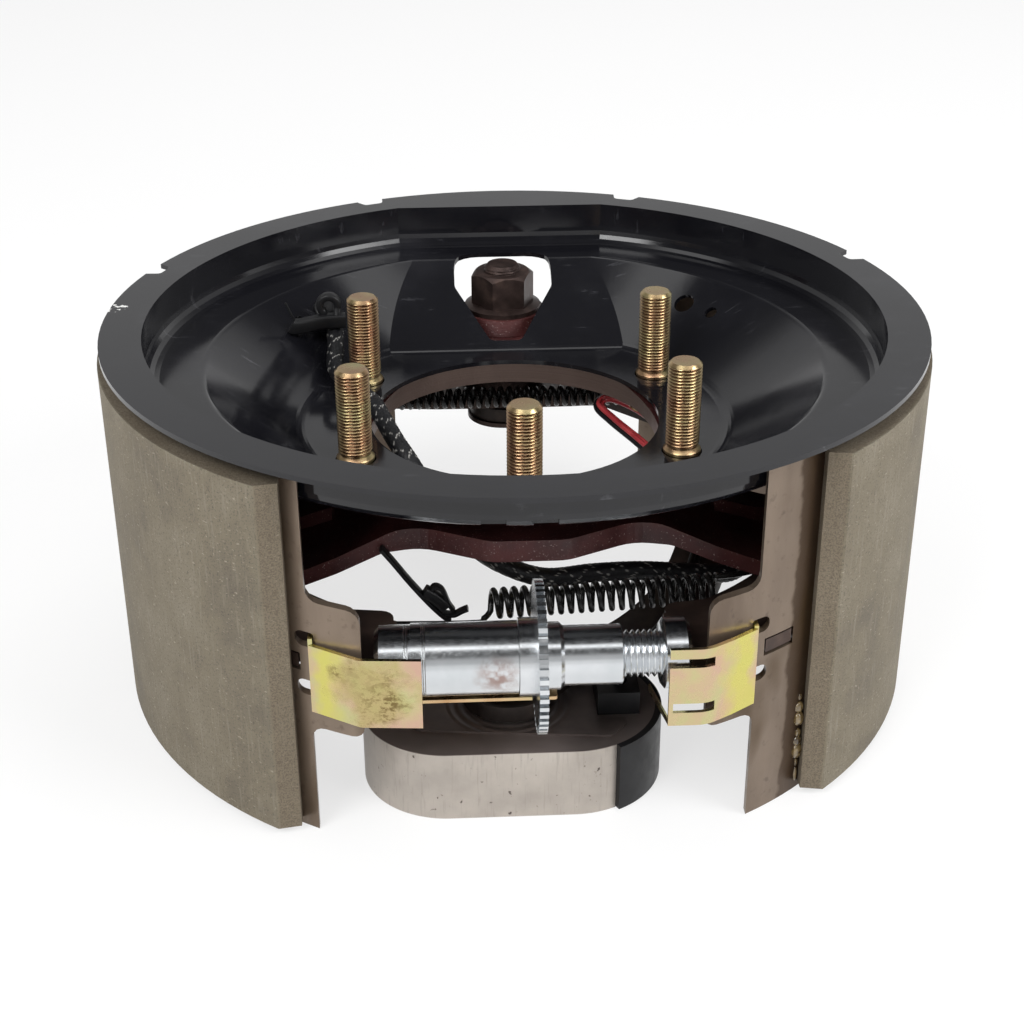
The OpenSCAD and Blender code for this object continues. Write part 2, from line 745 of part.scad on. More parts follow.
module adjuster_socket() {
    step = socket_end + 12;
    color([0.72, 0.74, 0.76])
    difference() {
        union() {
            along_adjuster() {
                translate([0, 0, step]) cylinder(r = tube_r, h = tube_end - step);
                translate([0, 0, socket_end + 1.5]) cylinder(r = tube_r - 0.4, h = step - socket_end - 1.5);
                translate([0, 0, socket_end]) cylinder(r1 = tube_r - 2, r2 = tube_r - 0.4, h = 1.5);
            }
        }
        along_adjuster() translate([0, 0, bore_in]) cylinder(r = thread_r + 1 + fit, h = far);
        translate([socket_end - 1, -adjuster_y - 20, shoe_z - web_t / 2 - slot_gap])
            cube([slot_depth + 1.35, 40, web_t + 2 * slot_gap]);
    }
}

// Outline of the star wheel, with a square notch between each two teeth
module star_outline() {
    r = star_d / 2;
    root = r - 2.4;
    pitch = 360 / star_teeth;
    polygon([for (i = [0:star_teeth - 1]) for (k = [[0, root], [0.06, r], [0.54, r], [0.6, root]])
        k[1] * [cos((i + k[0]) * pitch), sin((i + k[0]) * pitch)]]);
}

module star_nut() {
    r = shank_d / 2;
    pilot = tube_end - 22;
    color([0.74, 0.76, 0.78])
    along_adjuster()
    difference() {
        union() {
            translate([0, 0, star_x]) linear_extrude(star_t) star_outline();
            translate([0, 0, pilot]) cylinder(r = thread_r + 1, h = star_x - pilot + 1);
            translate([0, 0, tube_end + 0.2]) cylinder(r = collar_r, h = star_x - tube_end);
            translate([0, 0, star_x + star_t]) cylinder(r = r + 1.3, h = 5);
            translate([0, 0, star_x + star_t + 5]) cylinder(r1 = r + 1.3, r2 = r, h = 1.3);
            translate([0, 0, star_x + star_t + 6.3]) cylinder(r = r, h = shank_end - star_x - star_t - 6.8);
            translate([0, 0, shank_end - 0.5]) cylinder(r1 = r, r2 = r - 0.5, h = 0.5);
        }
        translate([0, 0, pilot - 1]) cylinder(r = thread_r + fit, h = far);
    }
}

module adjuster_screw() {
    r = fork_d / 2;
    color([0.72, 0.74, 0.76])
    difference() {
        along_adjuster() {
            translate([0, 0, tube_end - 16]) cylinder(r = thread_r, h = screw_head - tube_end + 16.5);
            translate([0, 0, screw_head]) cylinder(r1 = r - 1.2, r2 = r, h = 1.2);
            translate([0, 0, screw_head + 1.2]) cylinder(r = r, h = screw_end - screw_head - 2.7);
            translate([0, 0, screw_end - 1.5]) cylinder(r1 = r, r2 = r - 1.5, h = 1.5);
        }
        translate([web_end_x - 0.35, -adjuster_y - 20, shoe_z - web_t / 2 - slot_gap])
            cube([40, 40, web_t + 2 * slot_gap]);
    }
}

// Retractor springs: a close coil with a hooked wire at each end

// Turns from a to b; lead adds steps before the first turn
function coil(a, b, r, pitch, steps, lead = 0) =
    let (len = norm(b - a), u = unit(b - a), v = unit(cross(u, [0, 0, 1])), w = cross(v, u),
        n = round(len / pitch))
    [for (i = [-lead:n * steps])
        a + u * len * i / (n * steps)
            + r * (cos(360 * i / steps) * w + sin(360 * i / steps) * v)];

module upper_spring() {
    r = (spring_d - 2 - wire_d) / 2;
    z = web_top + r + wire_d / 2 - 2;
    y = anchor_y - 25;
    hook = upper_hook;
    leg = [[66, y + 0.5, z + r - 1], [76, y + 2, web_top + 3.4], [hook.x - 1.5, hook.y - 0.5, web_top + 2],
        [hook.x, hook.y, web_top], [hook.x, hook.y, web_top - 6]];
    color([0.1, 0.1, 0.11])
    swept_tube(concat([for (i = [4:-1:0]) [-leg[i].x, leg[i].y, leg[i].z]],
        coil([-58, y, z], [58, y, z], r, spring_pitch, 7), leg), wire_d / 2, 5);
}

// The left end of this one runs low, behind the adjuster, and hooks up through the web
module lower_spring() {
    r = (spring_d - wire_d) / 2;
    a = [-11.5, -adjuster_y + 36.5, shoe_z - 0.5];
    b = [68, -adjuster_y + 39.5, shoe_z + 1.5];
    hook = lower_hook;
    low = web_top - web_t - 6.5;
    color([0.1, 0.1, 0.11])
    swept_tube(concat([[-hook.x, hook.y, web_top + 4], [-hook.x, hook.y, web_top - web_t - 2],
        [-hook.x + 1.5, hook.y - 1, low + 1.5], [-hook.x + 7, hook.y - 3, low], [-22, a.y + 1, low], [-15.5, a.y + 1.6, low + 1.5]],
        coil(a, b, r, spring_pitch, 7, 3),
        [[74, b.y + 1, b.z + r], [82, hook.y, web_top + 3.2], [hook.x - 1.5, hook.y, web_top + 2],
        [hook.x, hook.y, web_top], [hook.x, hook.y, web_top - 6]]),
        wire_d / 2, 5);
}

// Lever: a forged arm that sweeps round the hub from the anchor to the magnet

module lever_section() {
    high = lever_top - lever_t;
    path = bend([[-far / 2, lever_low], [-64, lever_low], [-6, high], [far / 2, high]], [0, 14, 14, 0]);
    rotate([90, 0, 90])
        translate([0, 0, -far / 2])
        linear_extrude(far)
        polygon(strip(path, lever_t));
}

module lever_arm() {
    inner = lever_sweep_r - lever_w / 2;
    outer = lever_sweep_r + lever_w / 2;
    eye_r = post_r + 8;
    color([0.22, 0.2, 0.2])
    difference() {
        union() {
            intersection() {
                lever_section();
                union() {
                    translate([0, 0, -100]) intersection() {
                        ring_arc(inner, outer, 0, 100, -68, 25);
                        cylinder(r = far, h = 100);
                    }
                    translate([0, anchor_y, -100]) cylinder(r = journal_r + 5, h = 100);
                    translate([-lug_r - 2, anchor_y, -100]) cube([2 * lug_r + 4, lug_y - anchor_y, 100]);
                    translate([0, lug_y, -100]) cylinder(r = lug_r + 2, h = 100);
                    translate([0, 0, -100]) linear_extrude(100)
                        polygon(closed_bend([[4, anchor_y + 1], [44, anchor_y + 1], [inner, anchor_y - 22],
                            [inner + 5, 60], [inner + 2, 24], [outer, 20], [outer + 8, 60], [outer, anchor_y - 10],
                            [58, anchor_y + 15], [4, anchor_y + 14]], [0, 12, 12, 20, 0, 0, 20, 16, 12, 0]));
                    translate([0, 0, -100]) linear_extrude(100)
                        polygon([[magnet_x, -magnet_y + eye_r], [magnet_x - 4, -magnet_y],
                            [magnet_x + 8, -magnet_y - 14], [19, -magnet_y + 9], [outer * cos(67.5), -outer * sin(67.5)],
                            [inner * cos(67.5), -inner * sin(67.5)]]);
                    translate([magnet_x, -magnet_y, -100]) cylinder(r = eye_r, h = 100);
                }
            }
            translate([0, lug_y, lever_top - 1]) cylinder(r = lug_r, h = web_t + 3.5);
        }
        translate([0, anchor_y, -100]) cylinder(r = journal_r + fit, h = 100);
        translate([magnet_x, -magnet_y, -100]) cylinder(r = post_r + fit, h = 100);
    }
}

// Magnet: a steel oval with its coil potted in the rubbing face

module stadium(l, w, h) {
    r = w / 2;
    translate([-(l / 2 - r), 0, 0]) cylinder(r = r, h = h);
    translate([l / 2 - r, 0, 0]) cylinder(r = r, h = h);
    translate([-(l / 2 - r), -r, 0]) cube([l - w, w, h]);
}

module at_magnet() {
    translate([magnet_x, -magnet_y, floor_z]) children();
}

module coil_ring(low, high) {
    difference() {
        translate([0, 0, low]) stadium(magnet_l - 20, magnet_w - 20, high - low);
        translate([0, 0, low - 1]) stadium(magnet_l - 48, magnet_w - 48, high - low + 2);
    }
}

module magnet_frame() {
    color([0.62, 0.6, 0.57])
    at_magnet()
    difference() {
        union() {
            stadium(magnet_l, magnet_w, magnet_h);
            cylinder(r = post_r, h = post_top - floor_z);
        }
        coil_ring(-1, magnet_h - 6);
    }
}

module magnet_coil() {
    color([0.16, 0.13, 0.12])
    at_magnet() coil_ring(0.6, magnet_h - 6);
}

module magnet_plate() {
    color([0.33, 0.3, 0.3])
    difference() {
        translate([0, 0, magnet_top]) linear_extrude(plate_t)
            polygon(closed_bend([[-41, -magnet_y - 16], [28, -magnet_y - 23], [34, -magnet_y - 16],
                [30, -magnet_y + 26], [-36, -magnet_y + 26], [-50, -magnet_y + 12]],
                [4, 3, 3, 6, 6, 6]));
        translate([magnet_x, -magnet_y, magnet_top - 1]) cylinder(r = post_r + 4.4, h = 4);
        translate([24, -magnet_y - 12, magnet_top - 1]) cube([20, 22, 4]);
    }
}

module magnet_washer() {
    color([0.4, 0.4, 0.4])
    translate([magnet_x, -magnet_y, magnet_top])
    difference() {
        cylinder(r = post_r + 4.2, h = 1);
        translate([0, 0, -1]) cylinder(r = post_r, h = 3);
    }
}

// Clip across the groove of the magnet's post, above the lever
module magnet_clip() {
    color([0.2, 0.2, 0.2])
    translate([magnet_x, -magnet_y, lever_low + lever_t + 0.3])
    difference() {
        linear_extrude(retainer_t) union() {
            circle(r = post_r + 4);
            rotate([0, 0, -25]) translate([0, -5]) square([post_r + 9, 10]);
            rotate([0, 0, 155]) translate([0, -5]) square([post_r + 7, 10]);
        }
        translate([0, 0, -1]) cylinder(r = post_r, h = 4);
    }
}

// Plastic boot over the coil's leads, on top of the magnet and round its right end
module magnet_boot() {
    end_x = magnet_l / 2 - magnet_w / 2;
    color([0.08, 0.08, 0.09])
    at_magnet() {
        difference() {
            translate([end_x, 0, 0.4]) ring_arc(magnet_w / 2, magnet_w / 2 + 2.4, 0, magnet_h - 0.4, -62, 84);
            translate([end_x - 60, -60, -1]) cube([60, 120, 60]);
        }
        difference() {
            translate([boot_x - 7.5, -9, magnet_h]) cube([15, 18, 9]);
            translate([boot_x, 0, magnet_h + 2]) cylinder(r = lead_d + 1.2, h = 20);
        }
    }
}

// Harness: a braided sleeve that comes up through the hub and lies on the shield
sleeve_route = [[-73.3, 66.8, 18.7], [-71.6, 62, 15.6], [-70.7, 50, 10.2], [-70.4, 38, 5.7], [-64.2, 22, 4.6],
    [-55.3, 6, 4.8], [-51.2, -6, 3.4], [-46.2, -21, 0.8], [-41, -31.6, -3], [-36.5, -36.8, -9], [-32.5, -40.5, -15],
    [-28, -47, -20.5], [-20, -56, -25], [-8, -66, -29], [7, -72, -31.5], [25, -72, -30.2], [42, -72, -29.9],
    [60, -71.5, -31.6], [73, -70, -33], [79, -65, -33], [81, -58, -32.3]];
loop_route = [[80.6, -61, -32.6], [81, -57, -32.2], [80, -47, -30], [76, -36, -27], [71, -22, -24], [65, 4, -18],
    [60, 26, -17], [53, 43, -17], [43, 54, -17], [38, 52, -20], [43, 41, -22], [52, 24, -24], [59.5, 8, -26],
    [60, 6, -28.5], [60, 6, -29.6]];
lead_route = [[60, 6, -31.2], [60, 6, -32.3], [62, 3, -34.5], [68, -10, -35], [70, -26, -40.5], [62, -48, -51.5],
    [49, -70, -57], [38, -85, -58.5], [33, -89.6, -60.5], [32, -90, -63.5], [32, -90, -67.5]];

module harness_sleeve() {
    color([0.1, 0.1, 0.1])
    swept_tube(spline(sleeve_route, 3), sleeve_d / 2, 8);
}

module lead_loop() {
    color([0.7, 0.15, 0.18])
    swept_tube(spline(loop_route, 4), lead_d, 8);
}

module magnet_leads() {
    color([0.1, 0.1, 0.1])
    swept_tube(spline(lead_route, 4), lead_d, 8);
}

// Push-in tie: its button snaps into the shield's large hole, and its strap, with the
// head on top, goes round the end of the sleeve
module harness_tie() {
    r = sleeve_d / 2;
    a = sleeve_route[0];
    b = sleeve_route[1];
    d = unit(b - a);
    color([0.07, 0.07, 0.08]) {
        rotate([0, 0, 135.7])
            translate([tie_hole_r, 0, tie_hole_z])
            rotate([0, -dish_tilt, 0]) {
                translate([0, 0, -4]) cylinder(r1 = 3, r2 = 4.2, h = 4.3);
                translate([0, 0, 0.2]) cylinder(r = 5.4, h = 1.3);
            }
        translate(a + d * 0.6)
            rotate([0, acos(d.z), atan2(d.y, d.x)]) {
                difference() {
                    cylinder(r = r + 1.8, h = 4.6);
                    translate([0, 0, -1]) cylinder(r = r + 0.3, h = 7);
                }
            }
        translate([-81.5, 59.8, 20.2]) rotate([24, 0, 8]) cube([14.5, 5, 5.6]);
    }
}

// Cable tie looped over the spider's front edge, with its tail hanging down
module spider_tie() {
    path = bend([[-50.5, -6.5], [-46.5, -12], [-41, -20], [-33, -30.5], [-27.5, -35.5]], [0, 3, 3, 4, 0]);
    color([0.07, 0.07, 0.08])
    translate([0, -90.4, 0])
    rotate([90, 0, 0])
    linear_extrude(4.8)
    union() {
        polygon(strip(path, 1.4));
        translate([-35, -24]) rotate([0, 0, -42]) square([8, 6]);
    }
}

dust_shield();
spider();
mounting_studs();
anchor_pin();
anchor_nut();
anchor_washer();
lever_retainer();
hold_down_pins();
hold_down_springs();
hold_down_cups();
harness_sleeve();
harness_tie();
spider_tie();
lead_loop();
secondary_table();
secondary_web();
secondary_lining();
primary_table();
primary_web();
primary_lining();
secondary_clip();
primary_clip();
lock_plate();
adjuster_socket();
star_nut();
adjuster_screw();
upper_spring();
lower_spring();
lever_arm();
magnet_leads();
magnet_frame();
magnet_coil();
magnet_plate();
magnet_washer();
magnet_clip();
magnet_boot();
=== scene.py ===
import math

import bmesh
import bpy
from mathutils import Matrix, Vector


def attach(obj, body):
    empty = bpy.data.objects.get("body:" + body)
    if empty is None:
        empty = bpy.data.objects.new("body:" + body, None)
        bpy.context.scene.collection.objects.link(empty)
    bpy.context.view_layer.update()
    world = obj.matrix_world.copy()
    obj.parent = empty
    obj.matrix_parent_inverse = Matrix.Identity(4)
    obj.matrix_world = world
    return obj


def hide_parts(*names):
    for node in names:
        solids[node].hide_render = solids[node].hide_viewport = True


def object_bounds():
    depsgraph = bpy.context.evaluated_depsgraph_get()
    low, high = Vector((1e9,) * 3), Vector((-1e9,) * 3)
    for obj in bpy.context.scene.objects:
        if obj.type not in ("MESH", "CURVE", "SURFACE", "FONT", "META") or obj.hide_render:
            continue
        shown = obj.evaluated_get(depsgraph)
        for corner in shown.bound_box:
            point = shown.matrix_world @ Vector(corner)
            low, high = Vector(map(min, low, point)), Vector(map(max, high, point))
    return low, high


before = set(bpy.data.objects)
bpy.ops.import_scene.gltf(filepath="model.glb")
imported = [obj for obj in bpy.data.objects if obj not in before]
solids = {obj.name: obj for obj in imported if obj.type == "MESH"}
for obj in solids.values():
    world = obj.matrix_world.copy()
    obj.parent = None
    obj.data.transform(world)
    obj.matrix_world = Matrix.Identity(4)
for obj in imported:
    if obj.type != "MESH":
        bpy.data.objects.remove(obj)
solid_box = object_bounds()

# Camera: it stands in front of the adjuster, a little to the left, and looks down into the
# shield. Its lens is 61.7 mm long on a 36 mm sensor.

eye = Vector((-0.03058, -0.62160, 0.28177))
heading, dip, lean = 0.04719, 0.48002, -0.00474
lens_px, frame_px = 1756.29, 1024
ahead = Vector((math.sin(heading) * math.cos(dip), math.cos(heading) * math.cos(dip), -math.sin(dip)))
across = Vector((math.cos(heading), -math.sin(heading), 0))
upward = across.cross(ahead)
side = across * math.cos(lean) + upward * math.sin(lean)
top = upward * math.cos(lean) - across * math.sin(lean)
camera = bpy.data.objects.new("camera", bpy.data.cameras.new("camera"))
camera.data.sensor_width = 36
camera.data.lens = 36 * lens_px / frame_px
camera.data.clip_start = 0.02
camera.matrix_world = Matrix((side, top, -ahead)).transposed().to_4x4()
camera.matrix_world.translation = eye
bpy.context.scene.collection.objects.link(camera)
bpy.context.scene.camera = camera
bpy.context.scene.view_settings.view_transform = "Standard"

# Floor: a pale sheet that the brake stands on. The studio round it is pale near the floor and
# dark higher up, with one bright ring overhead, so that black paint stays black and bright
# plating has something to show. Three soft lamps light the brake.


def shader_of(made):
    return made.node_tree.nodes["Principled BSDF"]


def finish(name, colour, metallic, roughness):
    """Start a finish with one colour; what varies over the piece is fed in afterwards."""
    made = bpy.data.materials.new(name)
    made.use_nodes = True
    shader_of(made).inputs["Base Color"].default_value = (*colour, 1)
    shader_of(made).inputs["Metallic"].default_value = metallic
    shader_of(made).inputs["Roughness"].default_value = roughness
    return made


def add(made, kind, **inputs):
    """Add one node to a finish and fill in its inputs, which are values or other nodes' outputs."""
    node = made.node_tree.nodes.new("ShaderNode" + kind)
    for key, value in inputs.items():
        if key in ("attribute_name", "operation", "blend_type", "data_type"):
            setattr(node, key, value)
            continue
        spot = node.inputs[int(key[1:])] if key[0] == "_" else node.inputs[key]
        if isinstance(value, bpy.types.NodeSocket):
            made.node_tree.links.new(value, spot)
        else:
            spot.default_value = value
    return node


def worked_out(made, operation, *values):
    """Add, multiply or otherwise work out one value from one or two."""
    inputs = {f"_{i}": value for i, value in enumerate(values)}
    return add(made, "Math", operation=operation, **inputs).outputs[0]


def product(made, a, b):
    return worked_out(made, "MULTIPLY", a, b)


def piece(name, points, faces, made, body=None, smooth=True):
    """Make a mesh piece from points and faces, and let it ride on a body."""
    mesh = bpy.data.meshes.new(name)
    mesh.from_pydata([tuple(p) for p in points], [], faces)
    mesh.validate()
    mesh.update()
    work = bmesh.new()
    work.from_mesh(mesh)
    bmesh.ops.recalc_face_normals(work, faces=work.faces)
    work.to_mesh(mesh)
    work.free()
    mesh.materials.append(made)
    mesh.polygons.foreach_set("use_smooth", [smooth] * len(mesh.polygons))
    mesh.set_sharp_from_angle(angle=math.radians(38))
    obj = bpy.data.objects.new(name, mesh)
    bpy.context.scene.collection.objects.link(obj)
    if body:
        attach(obj, body)
    return obj


floor_z = solid_box[0][2] - 0.0002
floor_reach = 9
floor_paint = finish("floor_paint", (0.93, 0.93, 0.93), 0.0, 0.9)
shader_of(floor_paint).inputs["Specular IOR Level"].default_value = 0.1
corners = [(x * floor_reach, y * floor_reach, floor_z) for x, y in ((-1, -1), (1, -1), (1, 1), (-1, 1))]
floor = piece("floor", corners, [(0, 1, 2, 3)], floor_paint, smooth=False)
rays = add(floor_paint, "LightPath").outputs
seen = worked_out(floor_paint, "MAXIMUM", rays["Is Camera Ray"], rays["Is Glossy Ray"])
seen = worked_out(floor_paint, "MAXIMUM", seen, rays["Is Transmission Ray"])
white = add(floor_paint, "Emission", Color=(1, 1, 1, 1), Strength=1.0)
glow = product(floor_paint, seen, 0.7)
paint = shader_of(floor_paint).outputs[0]
sheet = add(floor_paint, "MixShader", _0=glow, _1=paint, _2=white.outputs[0])
surface = floor_paint.node_tree.nodes["Material Output"].inputs["Surface"]
floor_paint.node_tree.links.new(sheet.outputs[0], surface)

world = bpy.data.worlds.new("studio")
bpy.context.scene.world = world
world.use_nodes = True
sky = world.node_tree
back = sky.nodes["Background"]
aim = sky.nodes.new("ShaderNodeTexCoord")
split = sky.nodes.new("ShaderNodeSeparateXYZ")
ramp = sky.nodes.new("ShaderNodeValToRGB")
sky.links.new(aim.outputs["Generated"], split.inputs[0])
sky.links.new(split.outputs["Z"], ramp.inputs["Fac"])
sky.links.new(ramp.outputs["Color"], back.inputs["Color"])
for height, level in ((0.14, 0.58), (0.26, 0.34), (0.46, 0.34), (0.56, 0.11), (0.66, 0.04),
                      (0.83, 0.05), (0.86, 1.0), (0.92, 1.0), (0.95, 0.06)):
    stop = ramp.color_ramp.elements.new(height)
    stop.color = (level, level, level, 1)
ramp.color_ramp.elements[0].color = (0.58, 0.58, 0.58, 1)
ramp.color_ramp.elements[-1].color = (0.08, 0.08, 0.08, 1)
back.inputs["Strength"].default_value = 1.6

lit_spot = Vector((0, 0, -0.02))
for name, spot, size, power in (("key", (-0.9, -1.1, 1.25), 0.9, 21.0),
                                ("fill", (1.1, -0.7, 0.9), 0.8, 15.0),
                                ("rear", (0.5, 0.9, 1.6), 1.0, 10.0)):
    lamp = bpy.data.lights.new(name, "AREA")
    lamp.size = size
    lamp.energy = power
    holder = bpy.data.objects.new(name, lamp)
    holder.location = spot
    holder.rotation_euler = (lit_spot - Vector(spot)).to_track_quat("-Z", "Y").to_euler()
    holder.visible_glossy = name != "rear"
    bpy.context.scene.collection.objects.link(holder)

# Dust shield: one deep pressing in 1.8 mm sheet, painted gloss black. The paint has a faint
# ripple, smears from handling, and chips at the notch on the left.


def place(made, stretch=(1, 1, 1)):
    """The point on the piece, in metres, stretched for grain that runs one way."""
    coords = add(made, "TexCoord")
    return add(made, "Mapping", Vector=coords.outputs["Object"], Scale=stretch).outputs[0]


def grain(made, scale, detail=3.0, stretch=(1, 1, 1), roughness=0.55):
    """Cloudy noise at a scale given in cycles for each metre."""
    return add(made, "TexNoise", Vector=place(made, stretch), Scale=scale, Detail=detail,
               Roughness=roughness).outputs["Fac"]


def band(made, value, low, high, a=0.0, b=1.0):
    """Map low..high of a value to a..b, held at both ends."""
    ends = {"From Min": low, "From Max": high, "To Min": a, "To Max": b}
    return add(made, "MapRange", Value=value, **ends).outputs[0]


def blended(made, value, a, b):
    """Mix two colours by a value."""
    node = add(made, "Mix", data_type="RGBA", blend_type="MIX")
    for spot, given in ((0, value), (6, a), (7, b)):
        if isinstance(given, bpy.types.NodeSocket):
            made.node_tree.links.new(given, node.inputs[spot])
        else:
            node.inputs[spot].default_value = given if spot == 0 else (*given, 1)
    return node.outputs[2]


def total(made, a, b):
    return worked_out(made, "ADD", a, b)


def away_from(made, spot, stretch=(1, 1, 1)):
    """How far the surface lies from a spot."""
    return add(made, "VectorMath", operation="DISTANCE", _0=place(made, stretch), _1=spot).outputs["Value"]


def feed(made, socket, value):
    made.node_tree.links.new(value, shader_of(made).inputs[socket])


def relief(made, height, distance, strength=1.0):
    """Raise the surface by a value; distance is in metres."""
    node = add(made, "Bump", Height=height, Distance=distance, Strength=strength)
    before = shader_of(made).inputs["Normal"].links
    if before:
        made.node_tree.links.new(before[0].from_socket, node.inputs["Normal"])
    feed(made, "Normal", node.outputs[0])


def dress(node, made):
    """Give a solid of the brake its finish."""
    for spot in solids[node].material_slots:
        spot.material = made


shield_black = finish("shield_black", (0.009, 0.009, 0.011), 0.0, 0.14)
smear = grain(shield_black, 22, 5.0)
ripple = grain(shield_black, 260, 2.0)
scuff = band(shield_black, grain(shield_black, 90, 6.0, (1, 6, 1)), 0.62, 0.72)
scuff = product(shield_black, scuff, band(shield_black, smear, 0.45, 0.6))
notch_spot = (-0.1515, 0.014, 0.0425)
chip = band(shield_black, away_from(shield_black, notch_spot), 0.011, 0.004)
chip = band(shield_black, product(shield_black, chip, grain(shield_black, 420, 6.0)), 0.54, 0.58)
smeared = band(shield_black, smear, 0.5, 0.75)
tone = blended(shield_black, smeared, (0.006, 0.006, 0.008), (0.012, 0.012, 0.015))
tone = blended(shield_black, scuff, tone, (0.04, 0.04, 0.045))
feed(shield_black, "Base Color", blended(shield_black, chip, tone, (0.72, 0.72, 0.70)))
dull = band(shield_black, smear, 0.35, 0.75, 0.08, 0.2)
feed(shield_black, "Roughness", total(shield_black, dull, product(shield_black, chip, 0.4)))
relief(shield_black, ripple, 0.00002, 0.5)
relief(shield_black, chip, 0.0001)
dress("dust_shield", shield_black)

# Spider: an iron casting in maroon primer, grainy from the sand mould. The inside of its hub
# ring is turned smooth and left bare.


def reach(made):
    """How far the surface lies from the axis of the hub."""
    where = add(made, "SeparateXYZ", Vector=place(made)).outputs
    x_square = product(made, where["X"], where["X"])
    y_square = product(made, where["Y"], where["Y"])
    return worked_out(made, "SQRT", total(made, x_square, y_square))


bore_r = 0.056
spider_red = finish("spider_red", (0.11, 0.022, 0.018), 0.0, 0.5)
lumps = grain(spider_red, 70, 4.0)
sand = grain(spider_red, 900, 3.0)
tone = blended(spider_red, band(spider_red, lumps, 0.35, 0.7), (0.04, 0.009, 0.009), (0.085, 0.019, 0.018))
dust = band(spider_red, grain(spider_red, 1500, 2.0), 0.66, 0.72)
tone = blended(spider_red, dust, tone, (0.33, 0.24, 0.22))
turned = band(spider_red, reach(spider_red), bore_r + 0.0002, bore_r)
rings = grain(spider_red, 14.0, 3.0, (1, 1, 260), 0.5)
bare = blended(spider_red, rings, (0.10, 0.068, 0.057), (0.16, 0.115, 0.098))
feed(spider_red, "Base Color", blended(spider_red, turned, tone, bare))
feed(spider_red, "Roughness", band(spider_red, lumps, 0.3, 0.7, 0.36, 0.6))
feed(spider_red, "Metallic", product(spider_red, turned, 0.75))
relief(spider_red, sand, 0.00025, 0.6)
relief(spider_red, lumps, 0.0006, 0.5)
dress("spider", spider_red)

# Mounting studs: five 1/2 in studs, cut with 20 threads to the inch, chamfered at the top and
# yellow zinc plated. A collar stands at the foot of each, and the head is under the spider.


def graded(made, value, stops):
    """A colour ramp: stops are (position, colour)."""
    node = add(made, "ValToRGB", Fac=value)
    ramp = node.color_ramp
    while len(ramp.elements) < len(stops):
        ramp.elements.new(1.0)
    for element, (where, colour) in zip(ramp.elements, stops):
        element.position = where
        element.color = (*colour, 1)
    return node.outputs["Color"]


def fed(made, socket):
    """What was fed to a socket of a finish before."""
    return shader_of(made).inputs[socket].links[0].from_socket


def zinc(name, tones, roughness, cloud=60):
    """Yellow zinc: a thin film that shifts from gold to green and pink."""
    made = finish(name, tones[1], 1.0, roughness)
    soft = grain(made, cloud, 4.0)
    feed(made, "Base Color", graded(made, soft, [(0.3, tones[0]), (0.5, tones[1]), (0.7, tones[2])]))
    dull = band(made, grain(made, cloud * 4, 4.0), 0.3, 0.7, roughness - 0.08, roughness + 0.1)
    feed(made, "Roughness", dull)
    relief(made, grain(made, 1200, 2.0), 0.00003, 0.5)
    return made


def hoop_faces(hoops, count):
    """Faces between hoops of points that follow each other."""
    faces = []
    for i in range(hoops - 1):
        for k in range(count):
            j = (k + 1) % count
            faces.append((i * count + k, i * count + j, (i + 1) * count + j, (i + 1) * count + k))
    return faces


def closed_faces(hoops, count):
    """The same, with a face over each end."""
    ends = [tuple(range(count)), tuple((hoops - 1) * count + k for k in range(count))]
    return hoop_faces(hoops, count) + ends


def lathe(rows, count, origin, axis="Z"):
    """Points and faces of a turned form. Each row is (place along the axis, radius), where the
    radius may be a function of the angle, for a thread."""
    points = []
    for along, size in rows:
        for k in range(count):
            a = math.tau * k / count
            r = size(a) if callable(size) else size
            p = (r * math.cos(a), r * math.sin(a), along)
            if axis == "X":
                p = (p[2], p[0], p[1])
            points.append(Vector(p) + Vector(origin))
    return points, closed_faces(len(rows), count)


def thread_rows(start, end, radius, pitch, depth, lead_in, per_pitch=8):
    """Rows of a screw thread from start to end, with a chamfer of lead_in at the end."""
    rows = []
    steps = round((end - start) / pitch * per_pitch)
    for i in range(steps + 1):
        z = start + (end - start) * i / steps

        def size(a, z=z):
            turn = (z / pitch - a / math.tau) % 1.0
            flank = abs(turn - 0.5) * 2
            cut = depth * min(1.0, max(0.0, 1.25 * flank - 0.12))
            at_end = radius - lead_in + max(0.0, end - z)
            at_start = radius - depth + max(0.0, z - start) * 2
            return min(radius - cut, at_end, at_start)
        rows.append((z, size))
    return rows


def joined(parts):
    """One set of points and faces from several."""
    points, faces = [], []
    for p, f in parts:
        faces += [tuple(n + len(points) for n in q) for q in f]
        points += p
    return points, faces


def marked(obj, name, values):
    """Keep a number at each point of a piece, for its finish to read."""
    kept = obj.data.attributes.new(name, "FLOAT", "POINT")
    kept.data.foreach_set("value", values)


stud_zinc = zinc("stud_zinc", ((0.44, 0.25, 0.15), (0.53, 0.39, 0.21), (0.54, 0.49, 0.25)), 0.3, 75)
# Painted shade: the thread grooves are darkened to a copper brown by their depth, as shade in the hollows of
# the thread.
painted_groove_shade = add(stud_zinc, "Attribute", attribute_name="depth").outputs["Fac"]
tone = blended(stud_zinc, painted_groove_shade, fed(stud_zinc, "Base Color"), (0.08, 0.030, 0.015))
feed(stud_zinc, "Base Color", tone)
stud_angles = (33, 147, 210, 270, 330)
stud_ring = 0.06985
stud_r, stud_top = 0.00635, 0.036
stud_pitch, stud_cut = 0.00127, 0.00062
collar_r, collar_top = 0.0071, 0.0012
head_r, head_top, head_t = 0.0097, -0.0093, 0.005
thread_start = 0.0032
rows = [(head_top - head_t, head_r - 0.0012), (head_top - 0.0045, head_r), (head_top - 0.0005, head_r),
        (head_top, head_r - 0.0005), (head_top, stud_r - 0.0002), (0.0, stud_r - 0.0002),
        (0.0001, collar_r), (collar_top, collar_r), (0.0017, 0.0067), (0.0024, stud_r - 0.0006)]
rows += thread_rows(thread_start, stud_top - 0.0012, stud_r, stud_pitch, stud_cut, 0.0)
